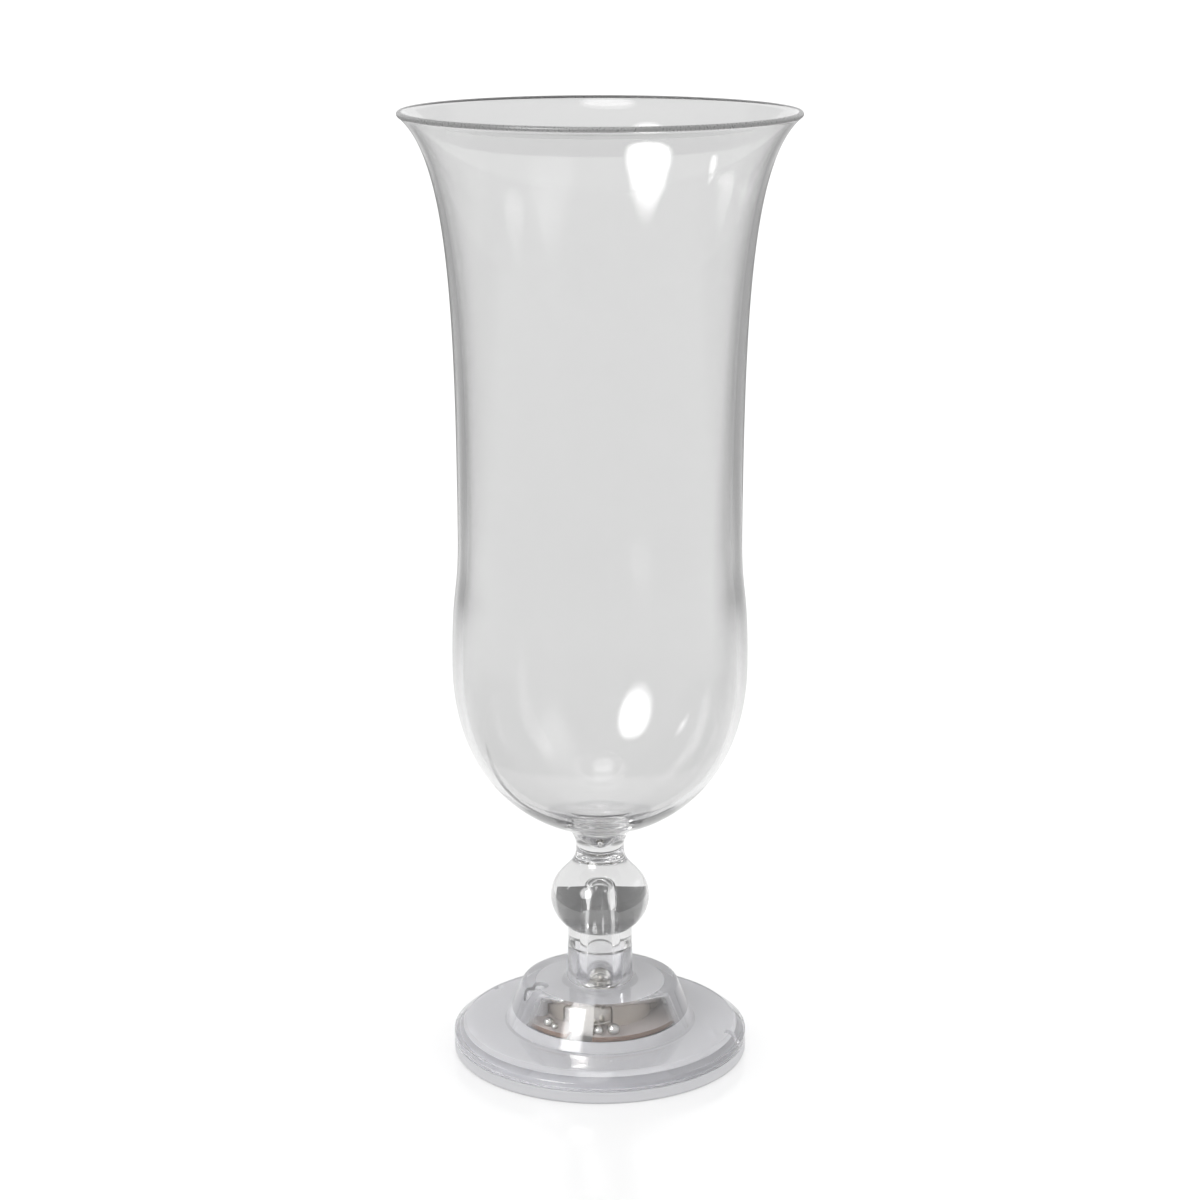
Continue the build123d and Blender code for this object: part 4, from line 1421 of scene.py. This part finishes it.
def softbox(name, azimuth, elevation, size, radiance):
    """Round soft lamp that fades to its edge and shows in gloss and glass only."""
    lamp = bpy.data.lights.new(name, "AREA")
    lamp.shape = "ELLIPSE"
    lamp.size, lamp.size_y = size
    lamp.energy = radiance * math.pi * math.pi * size[0] * size[1] / 4
    lamp.use_nodes = True
    tree = lamp.node_tree
    tree.nodes.clear()
    spot = add(tree, "ShaderNodeNewGeometry").outputs["Parametric"]
    middle = {0: spot, 1: (0.5, 0.5, 0.0)}
    offset = add(tree, "ShaderNodeVectorMath", middle, operation="DISTANCE").outputs["Value"]
    fade = add(tree, "ShaderNodeMapRange", {0: offset, 1: LAMP_EDGE, 2: LAMP_FADE})
    glow = add(tree, "ShaderNodeEmission", {"Color": (1, 1, 1, 1), "Strength": fade})
    add(tree, "ShaderNodeOutputLight", {"Surface": glow})
    holder = bpy.data.objects.new(name, lamp)
    turn, lift = math.radians(azimuth), math.radians(elevation)
    level = math.cos(lift)
    out = Vector((math.sin(turn) * level, -math.cos(turn) * level, math.sin(lift)))
    holder.location = Vector(LAMP_AIM) + out * LAMP_DISTANCE
    holder.rotation_euler = out.to_track_quat("Z", "Y").to_euler()
    holder.visible_camera = False
    holder.visible_diffuse = False
    bpy.context.scene.collection.objects.link(holder)
    return holder


def looking(tree):
    """Whether a ray is seen, comes by way of clear or glossy faces, and comes through them."""
    path = add(tree, "ShaderNodeLightPath").outputs
    through = path["Is Transmission Ray"]
    depth = path["Diffuse Depth"]
    straight = add(tree, "ShaderNodeMath", {0: depth, 1: 0.5}, operation="LESS_THAN")
    clear = add(tree, "ShaderNodeMath", {0: path["Is Glossy Ray"], 1: through}, operation="MAXIMUM")
    clear = add(tree, "ShaderNodeMath", {0: clear, 1: straight}, operation="MULTIPLY")
    seen = add(tree, "ShaderNodeMath", {0: path["Is Camera Ray"], 1: clear}, operation="MAXIMUM")
    return seen, clear, through


def studio_world():
    """World that lights evenly, and shows a white studio with a dark end to clear plastic."""
    world = bpy.data.worlds.new("studio")
    world.use_nodes = True
    tree = world.node_tree
    tree.nodes.clear()
    seen, _, through = looking(tree)
    place = add(tree, "ShaderNodeTexCoord").outputs["Generated"]
    aim = add(tree, "ShaderNodeSeparateXYZ", {0: place}).outputs
    behind = add(tree, "ShaderNodeMapRange", {0: aim["Y"], 1: 0.4, 2: 0.55})
    above = add(tree, "ShaderNodeMapRange", {0: aim["Z"], 1: 0.0, 2: 0.03})
    below = add(tree, "ShaderNodeMapRange", {0: aim["Z"], 1: 0.75, 2: 0.6})
    band = add(tree, "ShaderNodeMath", {0: above, 1: below}, operation="MULTIPLY")
    end = add(tree, "ShaderNodeMath", {0: behind, 1: band}, operation="MULTIPLY")
    front = add(tree, "ShaderNodeMapRange", {0: aim["Y"], 1: 0.0, 2: -0.3, 3: 0.75, 4: 1.0})
    inside = add(tree, "ShaderNodeMix", {0: end, 2: front, 3: DARK_END}, data_type="FLOAT")
    wall = add(tree, "ShaderNodeMix", {0: through, 2: 1.0, 3: inside}, data_type="FLOAT")
    light = add(tree, "ShaderNodeBackground", {"Color": (1, 1, 1, 1), "Strength": 1.0})
    shown = add(tree, "ShaderNodeBackground", {"Color": (1, 1, 1, 1), "Strength": wall})
    mixed = add(tree, "ShaderNodeMixShader", {0: seen, 1: light, 2: shown})
    add(tree, "ShaderNodeOutputWorld", {"Surface": mixed})
    return world


def studio_floor(finish):
    # Pale table sheet: satin, so that it keeps the contact shadow and a faint reflection, and
    # a light of its own brings it up to white. Clear plastic sees it turn a little darker 175 mm
    # behind the glass, darker to both sides, and again at its far end.
    material, tree, place = new_material("pale table sheet")
    speck = add(tree, "ShaderNodeTexNoise", {"Vector": place, "Scale": 1 / (2 * MM), "Detail": 2.0})
    rough = add(tree, "ShaderNodeMapRange", {0: speck, 3: 0.16, 4: 0.2})
    paint = {"Base Color": (*finish.floor, 1), "Roughness": rough}
    sheet = add(tree, "ShaderNodeBsdfPrincipled", paint)
    seen, clear, through = looking(tree)
    lift = add(tree, "ShaderNodeMath", {0: seen, 1: FLOOR_GLOW}, operation="MULTIPLY")
    glow = add(tree, "ShaderNodeEmission", {"Color": (1, 1, 1, 1), "Strength": lift})
    lit = add(tree, "ShaderNodeAddShader", {0: sheet, 1: glow})
    spot = add(tree, "ShaderNodeSeparateXYZ", {0: place}).outputs
    aside = add(tree, "ShaderNodeMath", {0: spot["X"], 1: 0.03}, operation="ADD")
    aside = add(tree, "ShaderNodeMath", {0: aside}, operation="ABSOLUTE")
    away = add(tree, "ShaderNodeMath", {0: spot["Y"], 1: 0.05}, operation="MAXIMUM")
    spread = add(tree, "ShaderNodeMath", {0: aside, 1: away}, operation="DIVIDE")
    flanks = add(tree, "ShaderNodeMapRange", {0: spread, 1: 0.22, 2: 0.42, 4: 0.62})
    back = add(tree, "ShaderNodeMapRange", {0: spot["Y"], 1: 0.18, 2: 0.46})
    flanks = add(tree, "ShaderNodeMath", {0: flanks, 1: back}, operation="MULTIPLY")
    beyond = add(tree, "ShaderNodeMapRange", {0: spot["Y"], 1: 0.17, 2: 0.18, 3: 0.05, 4: 0.15})
    far = add(tree, "ShaderNodeMapRange", {0: spot["Y"], 1: 2.42, 2: 2.55, 4: 0.28})
    beyond = add(tree, "ShaderNodeMath", {0: beyond, 1: far}, operation="MAXIMUM")
    inside = add(tree, "ShaderNodeMath", {0: flanks, 1: beyond}, operation="MAXIMUM")
    mirrored = add(tree, "ShaderNodeMapRange", {0: spot["Y"], 1: 0.15, 2: 0.5, 3: 0.05, 4: 0.6})
    shade = add(tree, "ShaderNodeMix", {0: through, 2: mirrored, 3: inside}, data_type="FLOAT")
    shade = add(tree, "ShaderNodeMath", {0: shade, 1: clear}, operation="MULTIPLY")
    dark = add(tree, "ShaderNodeEmission", {"Strength": 0.0})
    mixed = add(tree, "ShaderNodeMixShader", {0: shade, 1: lit, 2: dark})
    add(tree, "ShaderNodeOutputMaterial", {"Surface": mixed})
    return material


def studio_card():
    # Felt card: matt and dark grey, a low strip behind the stem that only clear plastic shows.
    # The ball turns it over into its dark lower half.
    mesh = bpy.data.meshes.new("dark card")
    left, right, back, low, high = -0.1, 0.028, 0.027, 0.0245, 0.0337
    corners = [(left, back, low), (right, back, low), (right, back, high), (left, back, high)]
    mesh.from_pydata(corners, [], [(0, 1, 2, 3)])
    material, tree, _ = new_material("grey felt card")
    felt = add(tree, "ShaderNodeBsdfDiffuse", {"Color": (*(CARD_GREY,) * 3, 1)})
    add(tree, "ShaderNodeOutputMaterial", {"Surface": felt})
    mesh.materials.append(material)
    card = linked("dark card", mesh)
    card.visible_camera = False
    card.visible_diffuse = False
    card.visible_glossy = False
    card.visible_shadow = False
    return card


class GLASS_OT_stage(bpy.types.Operator):
    """Set up the floor, the dark card, the soft lamps, the world and the camera"""

    bl_idname = "glass.stage"
    bl_label = "Studio"

    def execute(self, context):
        scene = context.scene
        shape = bmesh.new()
        bmesh.ops.create_circle(shape, cap_ends=True, segments=96, radius=FLOOR_RADIUS)
        mesh = bpy.data.meshes.new("floor")
        shape.to_mesh(mesh)
        shape.free()
        mesh.materials.append(studio_floor(scene.glass.finish))
        floor = linked("floor", mesh)
        studio_card()
        for lamp in LAMPS:
            softbox(*lamp)
        scene.world = studio_world()
        camera = bpy.data.cameras.new("camera")
        camera.sensor_width = CAMERA_SENSOR
        camera.lens = CAMERA_LENS
        view = bpy.data.objects.new("camera", camera)
        view.location = CAMERA_PLACE
        view.rotation_euler = (math.radians(CAMERA_TILT), 0.0, 0.0)
        scene.collection.objects.link(view)
        scene.camera = view
        scene.view_settings.view_transform = "Standard"
        scene.cycles.max_bounces = BOUNCES
        scene.cycles.glossy_bounces = BOUNCES
        scene.cycles.transmission_bounces = BOUNCES
        return {"FINISHED"}


OPERATORS = (
    GLASS_OT_bowl,
    GLASS_OT_foot_shell,
    GLASS_OT_base_cover,
    GLASS_OT_base_screws,
    GLASS_OT_push_button,
    GLASS_OT_board,
    GLASS_OT_solder,
    GLASS_OT_cells,
    GLASS_OT_contacts,
    GLASS_OT_holder,
    GLASS_OT_led,
    GLASS_OT_switch,
    GLASS_OT_stage,
)


class GLASS_PT_pieces(bpy.types.Panel):
    """Lists the pieces of the glass"""

    bl_idname = "GLASS_PT_pieces"
    bl_label = "Hurricane glass"
    bl_space_type = "VIEW_3D"
    bl_region_type = "UI"
    bl_category = "Glass"

    def draw(self, context):
        for operator in OPERATORS:
            self.layout.operator(operator.bl_idname)


CLASSES = (BowlSizes, FootSizes, LightSizes, Finishes, GlassSettings, *OPERATORS, GLASS_PT_pieces)


def register():
    for kind in CLASSES:
        bpy.utils.register_class(kind)
    bpy.types.Scene.glass = PointerProperty(type=GlassSettings)


def unregister():
    del bpy.types.Scene.glass
    for kind in reversed(CLASSES):
        bpy.utils.unregister_class(kind)


def main():
    register()
    bpy.ops.glass.bowl()
    bpy.ops.glass.foot_shell()
    bpy.ops.glass.base_cover()
    bpy.ops.glass.base_screws()
    bpy.ops.glass.push_button()
    bpy.ops.glass.board()
    bpy.ops.glass.solder()
    bpy.ops.glass.cells()
    bpy.ops.glass.contacts()
    bpy.ops.glass.holder()
    bpy.ops.glass.led()
    bpy.ops.glass.switch()
    bpy.ops.glass.stage()


if __name__ == "__main__":
    main()
